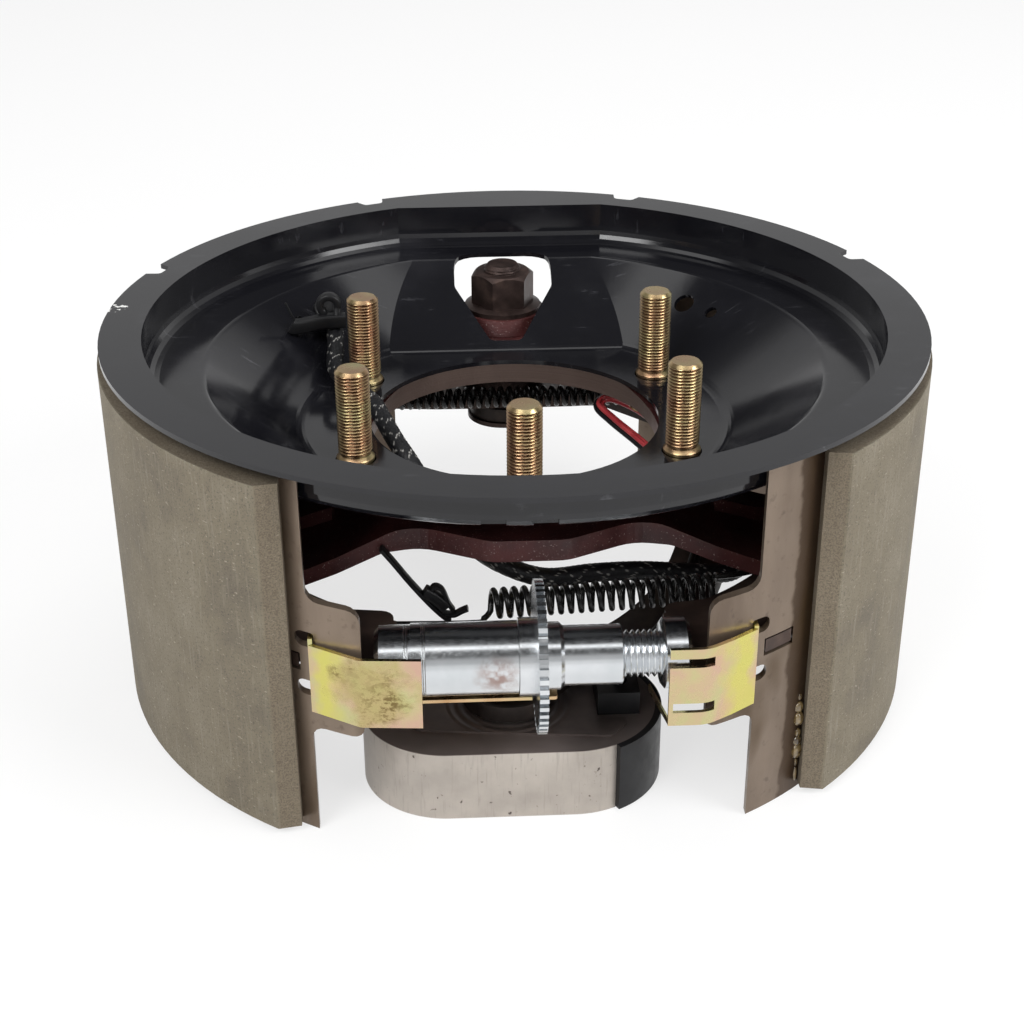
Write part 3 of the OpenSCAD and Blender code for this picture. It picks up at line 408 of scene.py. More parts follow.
rows += [(stud_top - 0.0011, stud_r - 0.0001), (stud_top, stud_r - 0.0012), (stud_top, 0.0025)]
parts, depths = [], []
for angle in stud_angles:
    a = math.radians(angle)
    spot = (stud_ring * math.cos(a), stud_ring * math.sin(a), 0)
    parts.append(lathe(rows, 32, spot))
    for p in parts[-1][0]:
        out = math.hypot(p.x - spot[0], p.y - spot[1])
        threaded = thread_start < p.z < stud_top - 0.0011
        depths.append(min(1.0, max(0.0, (stud_r - out) / stud_cut)) if threaded else 0.0)
points, faces = joined(parts)
studs = piece("threaded_studs", points, faces, stud_zinc, "backing")
# The groove depth kept at each point drives the painted shade in the thread grooves.
marked(studs, "depth", depths)
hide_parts("mounting_studs")

# Anchor: a 5/8 in bolt through the spider's boss, with a hexagon nut and a thick washer, all in
# dark oiled steel. The shoes close on its pin, and the lever turns on its lower end, where a
# retainer of the same steel holds it.

oiled = finish("oiled_steel", (0.05, 0.034, 0.03), 0.7, 0.42)
patch = grain(oiled, 120, 5.0)
tones = [(0.3, (0.03, 0.02, 0.018)), (0.55, (0.065, 0.043, 0.038)), (0.75, (0.13, 0.085, 0.07))]
feed(oiled, "Base Color", graded(oiled, patch, tones))
feed(oiled, "Roughness", band(oiled, patch, 0.3, 0.7, 0.32, 0.55))
relief(oiled, grain(oiled, 800, 3.0), 0.00006, 0.5)
for node in ("anchor_nut", "anchor_washer", "lever_retainer"):
    dress(node, oiled)

anchor = (0, 0.105, 0)
journal_r, pin_r, seat_r, shank_r = 0.01, 0.014, 0.018, 0.0079
pin_low, pin_top, seat_top = -0.0377, -0.0295, -0.0219
bolt_low, nut_top, bolt_top = -0.048, 0.022, 0.0252
rows = [(bolt_low, 0.0085), (bolt_low + 0.0005, journal_r), (pin_low, journal_r), (pin_low, pin_r),
        (pin_top, pin_r), (pin_top, seat_r), (seat_top, seat_r), (seat_top + 0.0001, shank_r),
        (nut_top - 0.004, shank_r)]
rows += thread_rows(nut_top - 0.002, nut_top + 0.0026, 0.00795, 0.0014, 0.0006, 0.001)
rows += [(bolt_top, 0.0064), (bolt_top, 0.003)]
points, faces = lathe(rows, 40, anchor)
bolt = piece("anchor_bolt", points, faces, oiled, "backing")
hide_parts("anchor_pin")

# Brake shoes: each is a rolled steel table with a flat web welded along its middle, oiled and
# gone brown, with darker stains of glue beside the lining and of oil on its front end.

shoe_steel = finish("shoe_steel", (0.17, 0.135, 0.115), 0.55, 0.45)
streaks = grain(shoe_steel, 34, 5.0, (1, 1, 0.22))
tones = [(0.3, (0.11, 0.078, 0.056)), (0.5, (0.185, 0.14, 0.105)), (0.68, (0.24, 0.185, 0.14))]
tone = graded(shoe_steel, streaks, tones)
spots = band(shoe_steel, grain(shoe_steel, 330, 4.0), 0.6, 0.74, 0.0, 0.45)
tone = blended(shoe_steel, spots, tone, (0.07, 0.048, 0.036))
where = add(shoe_steel, "SeparateXYZ", Vector=place(shoe_steel)).outputs
from_middle = worked_out(shoe_steel, "ABSOLUTE", where["X"])
ragged = total(shoe_steel, from_middle, product(shoe_steel, grain(shoe_steel, 90, 3.0), 0.006))
front = band(shoe_steel, where["Y"], -0.09, -0.1)
glue = product(shoe_steel, front, band(shoe_steel, ragged, 0.0905, 0.0918, 0.0, 0.85))
tone = blended(shoe_steel, glue, tone, (0.055, 0.03, 0.014))
oil = band(shoe_steel, grain(shoe_steel, 26, 3.0, (1, 1, 0.4)), 0.54, 0.62, 0.0, 0.7)
tone = blended(shoe_steel, product(shoe_steel, oil, front), tone, (0.075, 0.045, 0.02))
feed(shoe_steel, "Base Color", tone)
feed(shoe_steel, "Roughness", band(shoe_steel, grain(shoe_steel, 120, 5.0), 0.3, 0.7, 0.28, 0.46))
relief(shoe_steel, grain(shoe_steel, 1100, 3.0), 0.00006, 0.6)
relief(shoe_steel, streaks, 0.0002, 0.4)
web_brown = finish("web_brown", (0.05, 0.034, 0.028), 0.5, 0.45)
patch = grain(web_brown, 80, 5.0)
tones = [(0.3, (0.03, 0.02, 0.017)), (0.55, (0.07, 0.045, 0.036)), (0.75, (0.12, 0.085, 0.065))]
feed(web_brown, "Base Color", graded(web_brown, patch, tones))
feed(web_brown, "Roughness", band(web_brown, patch, 0.3, 0.7, 0.35, 0.55))
relief(web_brown, grain(web_brown, 900, 3.0), 0.00006, 0.6)
for node in ("primary_table", "secondary_table"):
    dress(node, shoe_steel)
for node in ("primary_web", "secondary_web"):
    dress(node, web_brown)

# Linings: pressed friction material, full of fibres and grit, bonded to the tables and ground
# round on a wheel, which leaves fine lines. Their ends are sawn to a taper, rougher and browner.

lining_r = 0.155
lining_grit = finish("lining_grit", (0.155, 0.13, 0.09), 0.0, 0.85)
cloud = grain(lining_grit, 45, 5.0)
specks = grain(lining_grit, 1500, 4.0)
fibres = grain(lining_grit, 520, 5.0, (1, 1, 2.6))
tones = [(0.3, (0.125, 0.105, 0.075)), (0.5, (0.165, 0.14, 0.098)), (0.72, (0.2, 0.175, 0.13))]
tone = graded(lining_grit, cloud, tones)
dark = band(lining_grit, specks, 0.54, 0.66, 0.0, 0.6)
tone = blended(lining_grit, dark, tone, (0.06, 0.05, 0.038))
tone = blended(lining_grit, band(lining_grit, fibres, 0.62, 0.7, 0.0, 0.7), tone, (0.34, 0.3, 0.23))
scores = grain(lining_grit, 1.0, 4.0, (700, 700, 60))
tone = blended(lining_grit, band(lining_grit, scores, 0.56, 0.7, 0.0, 0.32), tone, (0.27, 0.24, 0.19))
sawn = band(lining_grit, reach(lining_grit), lining_r - 0.0004, lining_r - 0.0007)
tone = blended(lining_grit, product(lining_grit, sawn, 0.5), tone, (0.15, 0.115, 0.078))
coarse = band(lining_grit, grain(lining_grit, 1900, 3.0), 0.46, 0.6, 0.0, 0.5)
tone = blended(lining_grit, product(lining_grit, sawn, coarse), tone, (0.06, 0.045, 0.03))
feed(lining_grit, "Base Color", tone)
feed(lining_grit, "Roughness", band(lining_grit, cloud, 0.3, 0.7, 0.74, 0.92))
relief(lining_grit, specks, 0.0002, 0.7)
relief(lining_grit, grain(lining_grit, 1.0, 3.0, (25, 25, 1300)), 0.00012, 0.6)
for node in ("primary_lining", "secondary_lining"):
    dress(node, lining_grit)

# Glue beads: amber resin that was squeezed out beside the primary lining and set in drops. They
# hang in a row on the face of the table.

resin = finish("resin", (0.12, 0.08, 0.035), 0.0, 0.06)
shader_of(resin).inputs["Coat Weight"].default_value = 1.0
tones = [(0.35, (0.05, 0.03, 0.012)), (0.62, (0.2, 0.14, 0.06))]
feed(resin, "Base Color", graded(resin, grain(resin, 420, 3.0), tones))
relief(resin, grain(resin, 500, 2.0), 0.0001, 0.5)
table_r = 0.145
drop_hoops, drop_sides = 9, 14
drops = []
for height, tall, wide in ((-0.0610, 0.0014, 0.0010), (-0.0652, 0.0022, 0.0019), (-0.0700, 0.0030, 0.0026),
                           (-0.0762, 0.0017, 0.0015), (-0.0797, 0.0021, 0.0019), (-0.0840, 0.0033, 0.0026),
                           (-0.0893, 0.0016, 0.0009), (-0.0945, 0.0030, 0.0009)):
    drop_x = 0.0932 - height * 0.02
    centre = Vector((drop_x, -math.sqrt(table_r ** 2 - drop_x ** 2), height))
    outward = Vector((centre.x, centre.y, 0)).normalized()
    sideways = Vector((-outward.y, outward.x, 0))
    points = []
    for i in range(drop_hoops):
        tilt = math.pi * i / (drop_hoops - 1)
        for k in range(drop_sides):
            a = math.tau * k / drop_sides
            uneven = 1 + 0.12 * math.sin(3 * a + height * 900)
            points.append(centre + sideways * wide * math.sin(tilt) * math.cos(a) * uneven
                          + outward * wide * 0.8 * math.sin(tilt) * math.sin(a)
                          + Vector((0, 0, tall * math.cos(tilt))))
    drops.append((points, hoop_faces(drop_hoops, drop_sides)))
points, faces = joined(drops)
piece("glue_beads", points, faces, resin, "primary_shoe")

# Adjuster: a socket tube, a star wheel on its threaded nut, and a screw with a forked head, all
# turned from steel bar and bright zinc plated. The webs of the shoes sit in its slotted ends.


def bright_zinc(name):
    """Bright zinc on turned steel: pale and glossy, with fine rings from the lathe."""
    made = finish(name, (0.66, 0.69, 0.72), 1.0, 0.24)
    tones = [(0.3, (0.62, 0.65, 0.67)), (0.55, (0.70, 0.72, 0.74)), (0.75, (0.76, 0.78, 0.79))]
    feed(made, "Base Color", graded(made, grain(made, 60, 4.0), tones))
    feed(made, "Roughness", band(made, grain(made, 700, 3.0), 0.3, 0.7, 0.16, 0.26))
    relief(made, grain(made, 1.0, 2.0, (2400, 8, 8)), 0.00002, 0.4)
    return made


bright = bright_zinc("bright_zinc")
tube_zinc = bright_zinc("tube_zinc")
smudge_spot = (-0.0125, -0.136, -0.0325)
smudge = product(tube_zinc, band(tube_zinc, away_from(tube_zinc, smudge_spot), 0.009, 0.002),
                 band(tube_zinc, grain(tube_zinc, 300, 5.0), 0.4, 0.6, 0.1, 0.8))
feed(tube_zinc, "Base Color", blended(tube_zinc, smudge, fed(tube_zinc, "Base Color"), (0.3, 0.17, 0.13)))
along = add(tube_zinc, "SeparateXYZ", Vector=place(tube_zinc)).outputs["X"]
for line_x in (-0.0430, -0.0422, -0.0372, -0.0365):
    off_line = worked_out(tube_zinc, "ABSOLUTE", total(tube_zinc, along, -line_x))
    relief(tube_zinc, band(tube_zinc, off_line, 0.0001, 0.0003), 0.0002, 0.8)
dress("adjuster_socket", tube_zinc)
dress("star_nut", bright)

shoe_mid = -0.0325
adjuster_axis = (0, -0.1235, shoe_mid)
core_r, thread_r, thread_pitch, thread_cut = 0.0072, 0.008, 0.002, 0.0011
fork_r, fork_low, slot_low, fork_end = 0.012, 0.0423, 0.04665, 0.052
rows = [(-0.0214, 0.004), (-0.0213, core_r), (0.0195, core_r)]
rows += thread_rows(0.0200, 0.0420, thread_r, thread_pitch, thread_cut, 0.0)
rows += [(fork_low, 0.0078), (fork_low, 0.0104), (0.0435, fork_r), (slot_low, fork_r), (slot_low, 0.004)]
parts = [lathe(rows, 40, adjuster_axis, "X")]
half_slot, arc_points = 0.0027, 17
for side in (1, -1):
    points = []
    for x, r in ((slot_low, fork_r), (fork_end - 0.0014, fork_r), (fork_end, 0.0106)):
        start = math.asin(half_slot / r)
        for k in range(arc_points):
            a = start + (math.pi - 2 * start) * k / (arc_points - 1)
            points.append(Vector((x, adjuster_axis[1] + r * math.cos(a), shoe_mid + side * r * math.sin(a))))
    faces = hoop_faces(3, arc_points)
    faces.append(tuple(range(arc_points)))
    faces.append(tuple(2 * arc_points + k for k in range(arc_points)))
    parts.append((points, faces))
points, faces = joined(parts)
screw = piece("threaded_screw", points, faces, bright, "screw")
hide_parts("adjuster_screw")

# Shoe clips and lock plate: bent from thin spring strip and yellow zinc plated. The clips hook
# into the tables; their plating runs from pink gold to yellow green, and the left one is rubbed
# and scratched brown.


def clip_zinc(name, green_at, green_off, scratched):
    """Plating on a clip: green near the shoe, pink gold away from it."""
    made = finish(name, (0.68, 0.48, 0.30), 1.0, 0.3)
    x = add(made, "SeparateXYZ", Vector=place(made)).outputs["X"]
    wavy = total(made, worked_out(made, "ABSOLUTE", x), product(made, grain(made, 70, 4.0), 0.018))
    green = product(made, band(made, wavy, green_at, green_at + 0.007),
                    band(made, wavy, green_off, green_off - 0.004))
    tones = [(0.36, (0.64, 0.42, 0.32)), (0.5, (0.62, 0.49, 0.29)), (0.62, (0.57, 0.54, 0.27))]
    tone = graded(made, grain(made, 75, 4.0), tones)
    tone = blended(made, product(made, green, 0.85), tone, (0.66, 0.62, 0.15))
    if scratched:
        worn = away_from(made, (-0.0535, 0, -0.036), (1, 0, 1))
        worn = total(made, worn, product(made, grain(made, 80, 6.0), 0.026))
        worn = band(made, worn, 0.0285, 0.0225)
        tone = blended(made, product(made, worn, 0.7), tone, (0.46, 0.38, 0.15))
        rub = grain(made, 300, 9.0, (0.8, 1, 1.2), 0.78)
        mark = product(made, band(made, rub, 0.49, 0.56), worn)
        mark = product(made, mark, band(made, grain(made, 90, 4.0), 0.44, 0.58, 0.25, 1.0))
        tone = blended(made, product(made, mark, 0.75), tone, (0.16, 0.10, 0.035))
        feed(made, "Roughness", band(made, mark, 0.0, 1.0, 0.27, 0.6))
    else:
        feed(made, "Roughness", band(made, grain(made, 200, 4.0), 0.3, 0.7, 0.2, 0.36))
    feed(made, "Base Color", tone)
    relief(made, grain(made, 1200, 2.0), 0.00002, 0.4)
    relief(made, grain(made, 60, 2.0), 0.0003, 0.3)
    return made


dress("secondary_clip", clip_zinc("left_clip_zinc", 0.0700, 0.0830, True))
dress("primary_clip", clip_zinc("right_clip_zinc", 0.0690, 0.0850, False))
dress("lock_plate", zinc("plate_zinc", ((0.50, 0.30, 0.15), (0.66, 0.46, 0.26), (0.62, 0.54, 0.28)), 0.3))

# Springs: two black retractor springs pull the shoes together, one beside the anchor and one
# behind the adjuster. Each is a coil of drawn wire that ends in long hooks, and is made here in
# two lengths, so that each hook goes with its own shoe.


def smooth_route(chosen, steps):
    """A smooth curve through chosen points."""
    route = []
    last = len(chosen) - 1
    for i in range(last):
        a, b = Vector(chosen[max(i - 1, 0)]), Vector(chosen[i])
        c, d = Vector(chosen[i + 1]), Vector(chosen[min(i + 2, last)])
        for k in range(steps):
            u = k / steps
            route.append(0.5 * (2 * b + (c - a) * u + (2 * a - 5 * b + 4 * c - d) * u * u
                                + (3 * b - a - 3 * c + d) * u ** 3))
    route.append(Vector(chosen[last]))
    return route


def side_ways(route):
    """Two directions across a route at each of its points, carried along without twist."""
    ways = []
    across = None
    for i in range(len(route)):
        run = (route[min(i + 1, len(route) - 1)] - route[max(i - 1, 0)]).normalized()
        if across is None:
            across = run.cross(Vector((0, 0, 1)) if abs(run.z) < 0.9 else Vector((1, 0, 0)))
        across = (across - run * across.dot(run)).normalized()
        ways.append((across, run.cross(across)))
    return ways


def wire(route, radius, sides=10, thick=None):
    """Points and faces of a wire along a route, closed at both ends; thick makes a flat strap of it."""
    points = []
    for spot, (u, v) in zip(route, side_ways(route)):
        for k in range(sides):
            c, s = math.cos(math.tau * k / sides), math.sin(math.tau * k / sides)
            if thick:
                c = math.copysign(abs(c) ** 0.45, c)
                s = math.copysign(abs(s) ** 0.45, s) * thick / radius
            points.append(spot + radius * (c * u + s * v))
    return points, closed_faces(len(route), sides)


def turns(a, b, radius, pitch, lead=0, steps=14):
    """The turns of a coil from a to b; lead adds steps before the first turn."""
    a, b = Vector(a), Vector(b)
    run = (b - a).normalized()
    v = run.cross(Vector((0, 0, 1))).normalized()
    w = v.cross(run)
    count = round((b - a).length / pitch)
    line = []
    for i in range(-lead, count * steps + 1):
        turn = math.tau * i / steps
        line.append(a + (b - a) * i / (count * steps) + radius * (math.cos(turn) * w + math.sin(turn) * v))
    return line


spring_black = finish("spring_black", (0.012, 0.012, 0.013), 0.4, 0.28)
tones = [(0.35, (0.008, 0.008, 0.009)), (0.7, (0.03, 0.028, 0.026))]
feed(spring_black, "Base Color", graded(spring_black, grain(spring_black, 160, 4.0), tones))
feed(spring_black, "Roughness", band(spring_black, grain(spring_black, 500, 3.0), 0.3, 0.7, 0.2, 0.4))
relief(spring_black, grain(spring_black, 900, 2.0), 0.00003, 0.5)
web_top = -0.030
wire_r, coil_pitch = 0.0011, 0.0037
leg = [(0.066, 0.0805, -0.0246), (0.076, 0.082, -0.0266), (0.0825, 0.0835, -0.028), (0.084, 0.084, web_top),
       (0.084, 0.084, -0.036)]
coil = turns((-0.058, 0.080, -0.02725), (0.058, 0.080, -0.02725), 0.00365, coil_pitch)
left = smooth_route([(-x, y, z) for x, y, z in reversed(leg)] + [coil[0]], 4)
right = smooth_route([coil[-1]] + leg, 4)
half = len(coil) // 2
points, faces = wire(left[:-1] + coil[:half + 1], wire_r)
spring = piece("anchor_side_spring", points, faces, spring_black, "secondary_shoe")
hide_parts("upper_spring")
points, faces = wire(coil[half:] + right[1:], wire_r)
piece("anchor_side_spring_end", points, faces, spring_black, "primary_shoe")

hook_x, hook_y, leg_z = 0.08794, -0.08002, -0.0415
coil = turns((-0.0115, -0.087, -0.033), (0.068, -0.084, -0.031), 0.00465, coil_pitch, lead=6)
left = smooth_route([(-hook_x, hook_y, web_top + 0.004), (-hook_x, hook_y, web_top - 0.007),
                     (-hook_x + 0.0015, hook_y - 0.001, leg_z + 0.0015),
                     (-hook_x + 0.007, hook_y - 0.003, leg_z), (-0.022, -0.086, leg_z),
                     (-0.0155, -0.0854, leg_z + 0.0015), coil[0]], 5)
right = smooth_route([coil[-1], (0.074, -0.083, -0.02635), (0.082, hook_y, web_top + 0.0032),
                      (hook_x - 0.0015, hook_y, web_top + 0.002), (hook_x, hook_y, web_top),
                      (hook_x, hook_y, web_top - 0.006)], 4)
left_share = 28
points, faces = wire(left[:-1] + coil[:left_share + 1], wire_r)
spring = piece("adjuster_side_spring", points, faces, spring_black, "secondary_shoe")
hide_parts("lower_spring")
points, faces = wire(coil[left_share:] + right[1:], wire_r)
piece("adjuster_side_coil", points, faces, spring_black, "primary_shoe")

# Hold-downs: a pin goes through each web, and a small coil under a plain steel cup presses the
# web to the spider. The pins are yellow zinc plated.

grey_steel = finish("grey_steel", (0.3, 0.28, 0.26), 0.9, 0.4)
patch = grain(grey_steel, 90, 5.0)
tones = [(0.3, (0.20, 0.18, 0.17)), (0.6, (0.34, 0.32, 0.30)), (0.8, (0.26, 0.20, 0.16))]
feed(grey_steel, "Base Color", graded(grey_steel, patch, tones))
feed(grey_steel, "Roughness", band(grey_steel, patch, 0.3, 0.7, 0.32, 0.5))
relief(grey_steel, grain(grey_steel, 1000, 2.0, (1, 1, 8)), 0.00004, 0.5)
dress("hold_down_cups", grey_steel)
pin_zinc = zinc("pin_zinc", ((0.46, 0.30, 0.14), (0.60, 0.45, 0.20), (0.55, 0.50, 0.22)), 0.34, 80)
dress("hold_down_pins", pin_zinc)
pin_x, pin_y = 0.10393, -0.06196
coil_r, coil_low, coil_tall, coil_steps, turn_steps = 0.0082, -0.047, 0.0108, 64, 16
coils = []
for side in (-1, 1):
    line = []
    for i in range(coil_steps + 1):
        turn = math.tau * i / turn_steps
        line.append(Vector((side * pin_x + coil_r * math.cos(turn), pin_y + coil_r * math.sin(turn),
                            coil_low + coil_tall * i / coil_steps)))
    coils.append(wire(line, 0.0009, 8))
points, faces = joined(coils)
springs = piece("hold_down_coils", points, faces, spring_black, "backing")
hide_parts("hold_down_springs")

# Lever: a dark forged arm that hangs on the anchor pin, sweeps round the hub and carries the
# magnet. It is left as it came from the forge, with a thin scale on it.

forged = finish("forged_steel", (0.028, 0.022, 0.02), 0.6, 0.45)
patch = grain(forged, 70, 5.0)
tones = [(0.3, (0.016, 0.012, 0.011)), (0.55, (0.034, 0.026, 0.023)), (0.78, (0.08, 0.06, 0.05))]
feed(forged, "Base Color", graded(forged, patch, tones))
feed(forged, "Roughness", band(forged, patch, 0.3, 0.7, 0.34, 0.58))
relief(forged, grain(forged, 500, 4.0), 0.00012, 0.6)
dress("lever_arm", forged)

# Magnet: an oval steel body with its winding potted in the face it rubs with. A dark plate, a
# washer and a spring clip hold it on its post, and a black boot covers its leads at the right.

body_top = -0.0736
magnet_grey = finish("magnet_grey", (0.38, 0.345, 0.31), 0.45, 0.46)
brushed = grain(magnet_grey, 900, 3.0, (1, 1, 0.08))
cloud = grain(magnet_grey, 45, 5.0)
tones = [(0.3, (0.35, 0.315, 0.28)), (0.52, (0.45, 0.405, 0.36)), (0.72, (0.52, 0.48, 0.43))]
tone = graded(magnet_grey, cloud, tones)
drawn = band(magnet_grey, brushed, 0.56, 0.74, 0.0, 0.4)
tone = blended(magnet_grey, drawn, tone, (0.22, 0.195, 0.17))
pits = band(magnet_grey, grain(magnet_grey, 420, 5.0), 0.66, 0.72)
tone = blended(magnet_grey, pits, tone, (0.09, 0.07, 0.06))
height = add(magnet_grey, "SeparateXYZ", Vector=place(magnet_grey)).outputs["Z"]
on_top = band(magnet_grey, height, body_top - 0.0002, body_top)
top_tone = graded(magnet_grey, cloud, [(0.3, (0.14, 0.115, 0.105)), (0.7, (0.21, 0.175, 0.165))])
feed(magnet_grey, "Base Color", blended(magnet_grey, on_top, tone, top_tone))
feed(magnet_grey, "Roughness", band(magnet_grey, cloud, 0.3, 0.7, 0.38, 0.54))
relief(magnet_grey, brushed, 0.00005, 0.5)
dress("magnet_frame", magnet_grey)

post = (-0.007, -0.09, -0.0727)
plate_brown = finish("plate_brown", (0.07, 0.053, 0.048), 0.5, 0.42)
patch = grain(plate_brown, 90, 5.0)
tones = [(0.3, (0.115, 0.093, 0.085)), (0.7, (0.19, 0.155, 0.145))]
feed(plate_brown, "Base Color", graded(plate_brown, patch, tones))
from_post = away_from(plate_brown, post)
wave = worked_out(plate_brown, "SINE", product(plate_brown, from_post, 1800.0))
pressed = product(plate_brown, wave, band(plate_brown, from_post, 0.0235, 0.0215))
relief(plate_brown, pressed, 0.0003, 0.8)
relief(plate_brown, grain(plate_brown, 700, 3.0), 0.00005, 0.5)
feed(plate_brown, "Roughness", band(plate_brown, patch, 0.3, 0.7, 0.3, 0.5))
dress("magnet_plate", plate_brown)
dress("magnet_washer", grey_steel)
dress("magnet_clip", spring_black)

potting = finish("potting", (0.035, 0.026, 0.02), 0.0, 0.5)
tones = [(0.35, (0.022, 0.016, 0.013)), (0.7, (0.06, 0.045, 0.034))]
feed(potting, "Base Color", graded(potting, grain(potting, 300, 5.0), tones))
relief(potting, grain(potting, 400, 4.0), 0.0002, 0.6)
dress("magnet_coil", potting)

black_plastic = finish("black_plastic", (0.009, 0.009, 0.010), 0.0, 0.42)
shader_of(black_plastic).inputs["Specular IOR Level"].default_value = 0.3
tones = [(0.35, (0.006, 0.006, 0.007)), (0.7, (0.013, 0.013, 0.014))]
feed(black_plastic, "Base Color", graded(black_plastic, grain(black_plastic, 60, 3.0), tones))
feed(black_plastic, "Roughness", band(black_plastic, grain(black_plastic, 220, 4.0), 0.3, 0.7, 0.3, 0.46))
relief(black_plastic, grain(black_plastic, 2200, 2.0), 0.00003, 0.6)
dress("magnet_boot", black_plastic)

# Harness sleeve: black braid, ten strands each way, with painted highlights as pale dots on the
# crests of four strands. It comes down from its tie, through the hub and round behind the adjuster.

braid = finish("braid", (0.014, 0.014, 0.015), 0.0, 0.48)
shader_of(braid).inputs["Specular IOR Level"].default_value = 0.35
# Painted highlights: pale dots on the crests of four strands, standing in for glints of light on the braid.
painted_glint = add(braid, "Attribute", attribute_name="painted_glints").outputs["Fac"]
twist = grain(braid, 1600, 2.0)
tone = blended(braid, band(braid, twist, 0.4, 0.65), (0.003, 0.003, 0.004), (0.013, 0.013, 0.015))
feed(braid, "Base Color", blended(braid, painted_glint, tone, (0.34, 0.33, 0.31)))
relief(braid, twist, 0.00008, 0.6)

sleeve_points = ((-73.3, 66.8, 18.7), (-71.6, 62, 15.6), (-70.7, 50, 10.2), (-70.4, 38, 5.7),
                 (-64.2, 22, 4.6), (-55.3, 6, 4.8), (-51.2, -6, 3.4), (-46.2, -21, 0.8), (-41, -31.6, -3),
                 (-36.5, -36.8, -9), (-32.5, -40.5, -15), (-28, -47, -20.5), (-20, -56, -25), (-8, -66, -29),
                 (7, -72, -31.5), (25, -72, -30.2), (42, -72, -29.9), (60, -71.5, -31.6), (73, -70, -33),
                 (79, -65, -33), (81, -58, -32.3))
fine_route = smooth_route([Vector(p) / 1000 for p in sleeve_points], 40)
hoop_gap = 0.00046
route = [fine_route[0]]
for spot in fine_route:
    if (spot - route[-1]).length >= hoop_gap:
        route.append(spot)
around, strands, lay = 60, 10, 0.020
sleeve_r, strand_rise = 0.0032, 0.00032
points, painted_glint_values = [], []
run = 0.0
for i, (spot, (u, v)) in enumerate(zip(route, side_ways(route))):
    run += (spot - route[i - 1]).length if i else 0.0
    for k in range(around):
        a = math.tau * k / around
        one = (k / around + run / lay) * strands
        two = (k / around - run / lay) * strands
        over = (math.floor(one) + math.floor(two)) % 2 == 0
        high_one = abs(math.sin(math.pi * one)) * (1.0 if over else 0.35)
        high_two = abs(math.sin(math.pi * two)) * (0.35 if over else 1.0)
        high = max(high_one, high_two)
        radius = sleeve_r + strand_rise * high
        points.append(spot + radius * (math.cos(a) * u + math.sin(a) * v))
        # A point gets a painted highlight where one of four strands is at its crest.
        if high_one > high_two:
            painted_glint_here = math.floor(one) % strands in (1, 6)
        else:
            painted_glint_here = math.floor(two) % strands in (3, 8)
        painted_glint_values.append(1.0 if painted_glint_here and high > 0.9 else 0.0)
sleeve = piece("braided_sleeve", points, closed_faces(len(route), around), braid, "backing")
marked(sleeve, "painted_glints", painted_glint_values)
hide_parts("harness_sleeve")

# Sleeve tie: a push-in tie of black nylon. Its button is pressed into a hole of the shield, its
# ring grips the end of the sleeve, and the free end of its strap is curled over its head.


def moved(part, matrix):
    """Points and faces of a part, put in its place."""
    points, faces = part
    return [matrix @ p for p in points], faces


hole_r, hole_z, hole_turn, hole_tilt = 0.1055, 0.01676, 135.7, 36.08
button_at = (Matrix.Rotation(math.radians(hole_turn), 4, "Z") @ Matrix.Translation((hole_r, 0, hole_z))
             @ Matrix.Rotation(-math.radians(hole_tilt), 4, "Y"))
button = lathe([(-0.004, 0.0006), (-0.004, 0.003), (0.0002, 0.0042), (0.0002, 0.0054), (0.0011, 0.0054),
                (0.0015, 0.0049), (0.0015, 0.0006)], 32, (0, 0, 0))
sleeve_end, sleeve_next = Vector((-0.0733, 0.0668, 0.0187)), Vector((-0.0716, 0.0620, 0.0156))
sleeve_way = (sleeve_next - sleeve_end).normalized()
ring_at = Matrix.Translation(sleeve_end + sleeve_way * 0.0006)
ring_at = ring_at @ Vector((0, 0, 1)).rotation_difference(sleeve_way).to_matrix().to_4x4()
ring = lathe([(0, 0.0036), (0, 0.0050), (0.0004, 0.0053), (0.0042, 0.0053), (0.0046, 0.0050),
              (0.0046, 0.0036)], 32, (0, 0, 0))
neck = wire(smooth_route([(-0.0750, 0.0732, 0.0180), (-0.0745, 0.0700, 0.0215), (-0.0740, 0.0650, 0.0238),
                          (-0.0738, 0.0590, 0.0222), (-0.0738, 0.0565, 0.0202)], 6), 0.0021, 16, 0.0012)
head = wire(smooth_route([(-0.0884, 0.0530, 0.0188), (-0.0874, 0.0530, 0.0183), (-0.0850, 0.0532, 0.0182),
                          (-0.0810, 0.0540, 0.0187), (-0.0740, 0.0555, 0.0194),
                          (-0.0665, 0.0560, 0.0194)], 6), 0.0026, 20, 0.0030)
curl_x, curl_y, curl_z, curl_r = -0.0731, 0.0572, 0.0256, 0.0037
curl = [(-0.0697, 0.0560, 0.0212)]
for degrees in range(-20, 231, 25):
    a = math.radians(degrees)
    curl.append((curl_x + curl_r * math.cos(a), curl_y, curl_z + curl_r * math.sin(a)))
curl.append((-0.0742, curl_y, 0.0232))
curl = wire(smooth_route(curl, 4), 0.0023, 16, 0.0015)
tail = wire(smooth_route([(-0.0862, 0.0532, 0.0190), (-0.0880, 0.0530, 0.0230), (-0.0893, 0.0530, 0.0260),
                          (-0.0904, 0.0530, 0.0285)], 4), 0.0005, 8)
points, faces = joined([moved(button, button_at), moved(ring, ring_at), neck, head, curl, tail])
tie = piece("push_in_tie", points, faces, black_plastic, "backing")
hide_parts("harness_tie")

# Spider tie: a nylon cable tie looped over the front edge of the spider, with its head and its
# two cut ends hanging behind the adjuster.

tie_y = -0.0928


def strap(places, steps, width, sides, thick):
    """A length of strap through places given as (x, z), all at the same distance from the spider."""
    return wire(smooth_route([(x, tie_y, z) for x, z in places], steps), width, sides, thick)


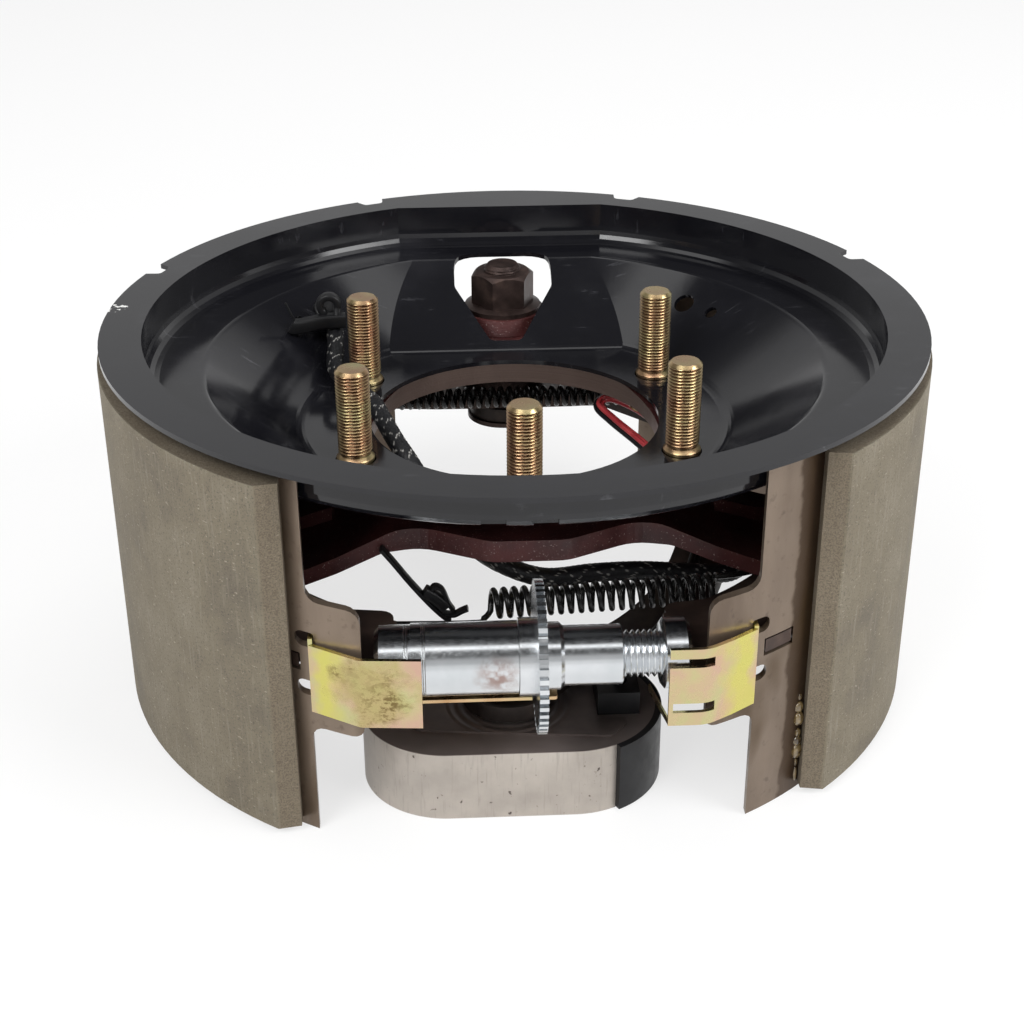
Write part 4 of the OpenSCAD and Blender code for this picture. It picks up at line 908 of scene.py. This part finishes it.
loop = strap([(-0.0505, -0.0065), (-0.0465, -0.0120), (-0.0410, -0.0200), (-0.0345, -0.0285),
              (-0.0300, -0.0335), (-0.0275, -0.0355)], 6, 0.0023, 16, 0.0008)
block = strap([(-0.0362, -0.0238), (-0.0340, -0.0252), (-0.0310, -0.0278), (-0.0288, -0.0303)],
              5, 0.0023, 20, 0.0021)
knee = strap([(-0.0350, -0.0262), (-0.0330, -0.0222), (-0.0300, -0.0234), (-0.0278, -0.0290),
              (-0.0262, -0.0318)], 5, 0.0019, 16, 0.0007)
stub = strap([(-0.0300, -0.0330), (-0.0262, -0.0335), (-0.0235, -0.0322), (-0.0212, -0.0312)],
             5, 0.0019, 16, 0.0007)
points, faces = joined([loop, block, knee, stub])
tie = piece("looped_tie", points, faces, black_plastic, "backing")
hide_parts("spider_tie")

# Leads: a loop of three red wires and a black one comes out of the sleeve and hangs in the hub,
# and from its end two black ones go down to the magnet with the lever. All are plastic covered.

red_cover = finish("red_cover", (0.45, 0.035, 0.045), 0.0, 0.36)
tones = [(0.35, (0.34, 0.022, 0.03)), (0.7, (0.55, 0.07, 0.075))]
feed(red_cover, "Base Color", graded(red_cover, grain(red_cover, 130, 4.0), tones))
feed(red_cover, "Roughness", band(red_cover, grain(red_cover, 300, 3.0), 0.3, 0.7, 0.28, 0.46))
relief(red_cover, grain(red_cover, 900, 2.0), 0.00004, 0.5)
loop_points = ((80.6, -61, -32.6), (81, -57, -32.2), (80, -47, -30), (76, -36, -27), (71, -22, -24),
               (65, 4, -18), (60, 26, -17), (53, 43, -17), (43, 54, -17), (38, 52, -20), (43, 41, -22),
               (52, 24, -24), (59.5, 8, -26), (60, 6, -28.5), (60, 6, -29.6))
lead_points = ((60, 6, -31.2), (60, 6, -32.3), (62, 3, -34.5), (68, -10, -35), (70, -26, -40.5),
               (62, -48, -51.5), (49, -70, -57), (38, -85, -58.5), (33, -89.6, -60.5),
               (32, -90, -63.5), (32, -90, -67.5))


def bundle(chosen, places, radius, lay):
    """Wires side by side along a route, each at an angle from its middle, slowly twisting."""
    route = smooth_route([Vector(p) / 1000 for p in chosen], 7)
    ways = side_ways(route)
    wires = []
    for start, off in places:
        run = 0.0
        line = []
        for i, (spot, (u, v)) in enumerate(zip(route, ways)):
            run += (spot - route[i - 1]).length if i else 0.0
            a = start + math.tau * run / lay
            line.append(spot + off * (math.cos(a) * u + math.sin(a) * v))
        wires.append(wire(line, radius, 10))
    return joined(wires)


loop_wire_r, loop_lay = 0.00105, 0.9
points, faces = bundle(loop_points, ((0.2, 0.0015), (1.57, 0.0013), (2.94, 0.0015)), loop_wire_r, loop_lay)
loop = piece("red_leads", points, faces, red_cover, "backing")
points, faces = bundle(loop_points, ((4.71, 0.0013),), loop_wire_r, loop_lay)
piece("black_lead", points, faces, black_plastic, "backing")
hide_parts("lead_loop")
points, faces = bundle(lead_points, ((0.0, 0.00125), (3.14, 0.00125)), 0.0012, 0.09)
leads = piece("magnet_pair", points, faces, black_plastic, "lever")
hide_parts("magnet_leads")
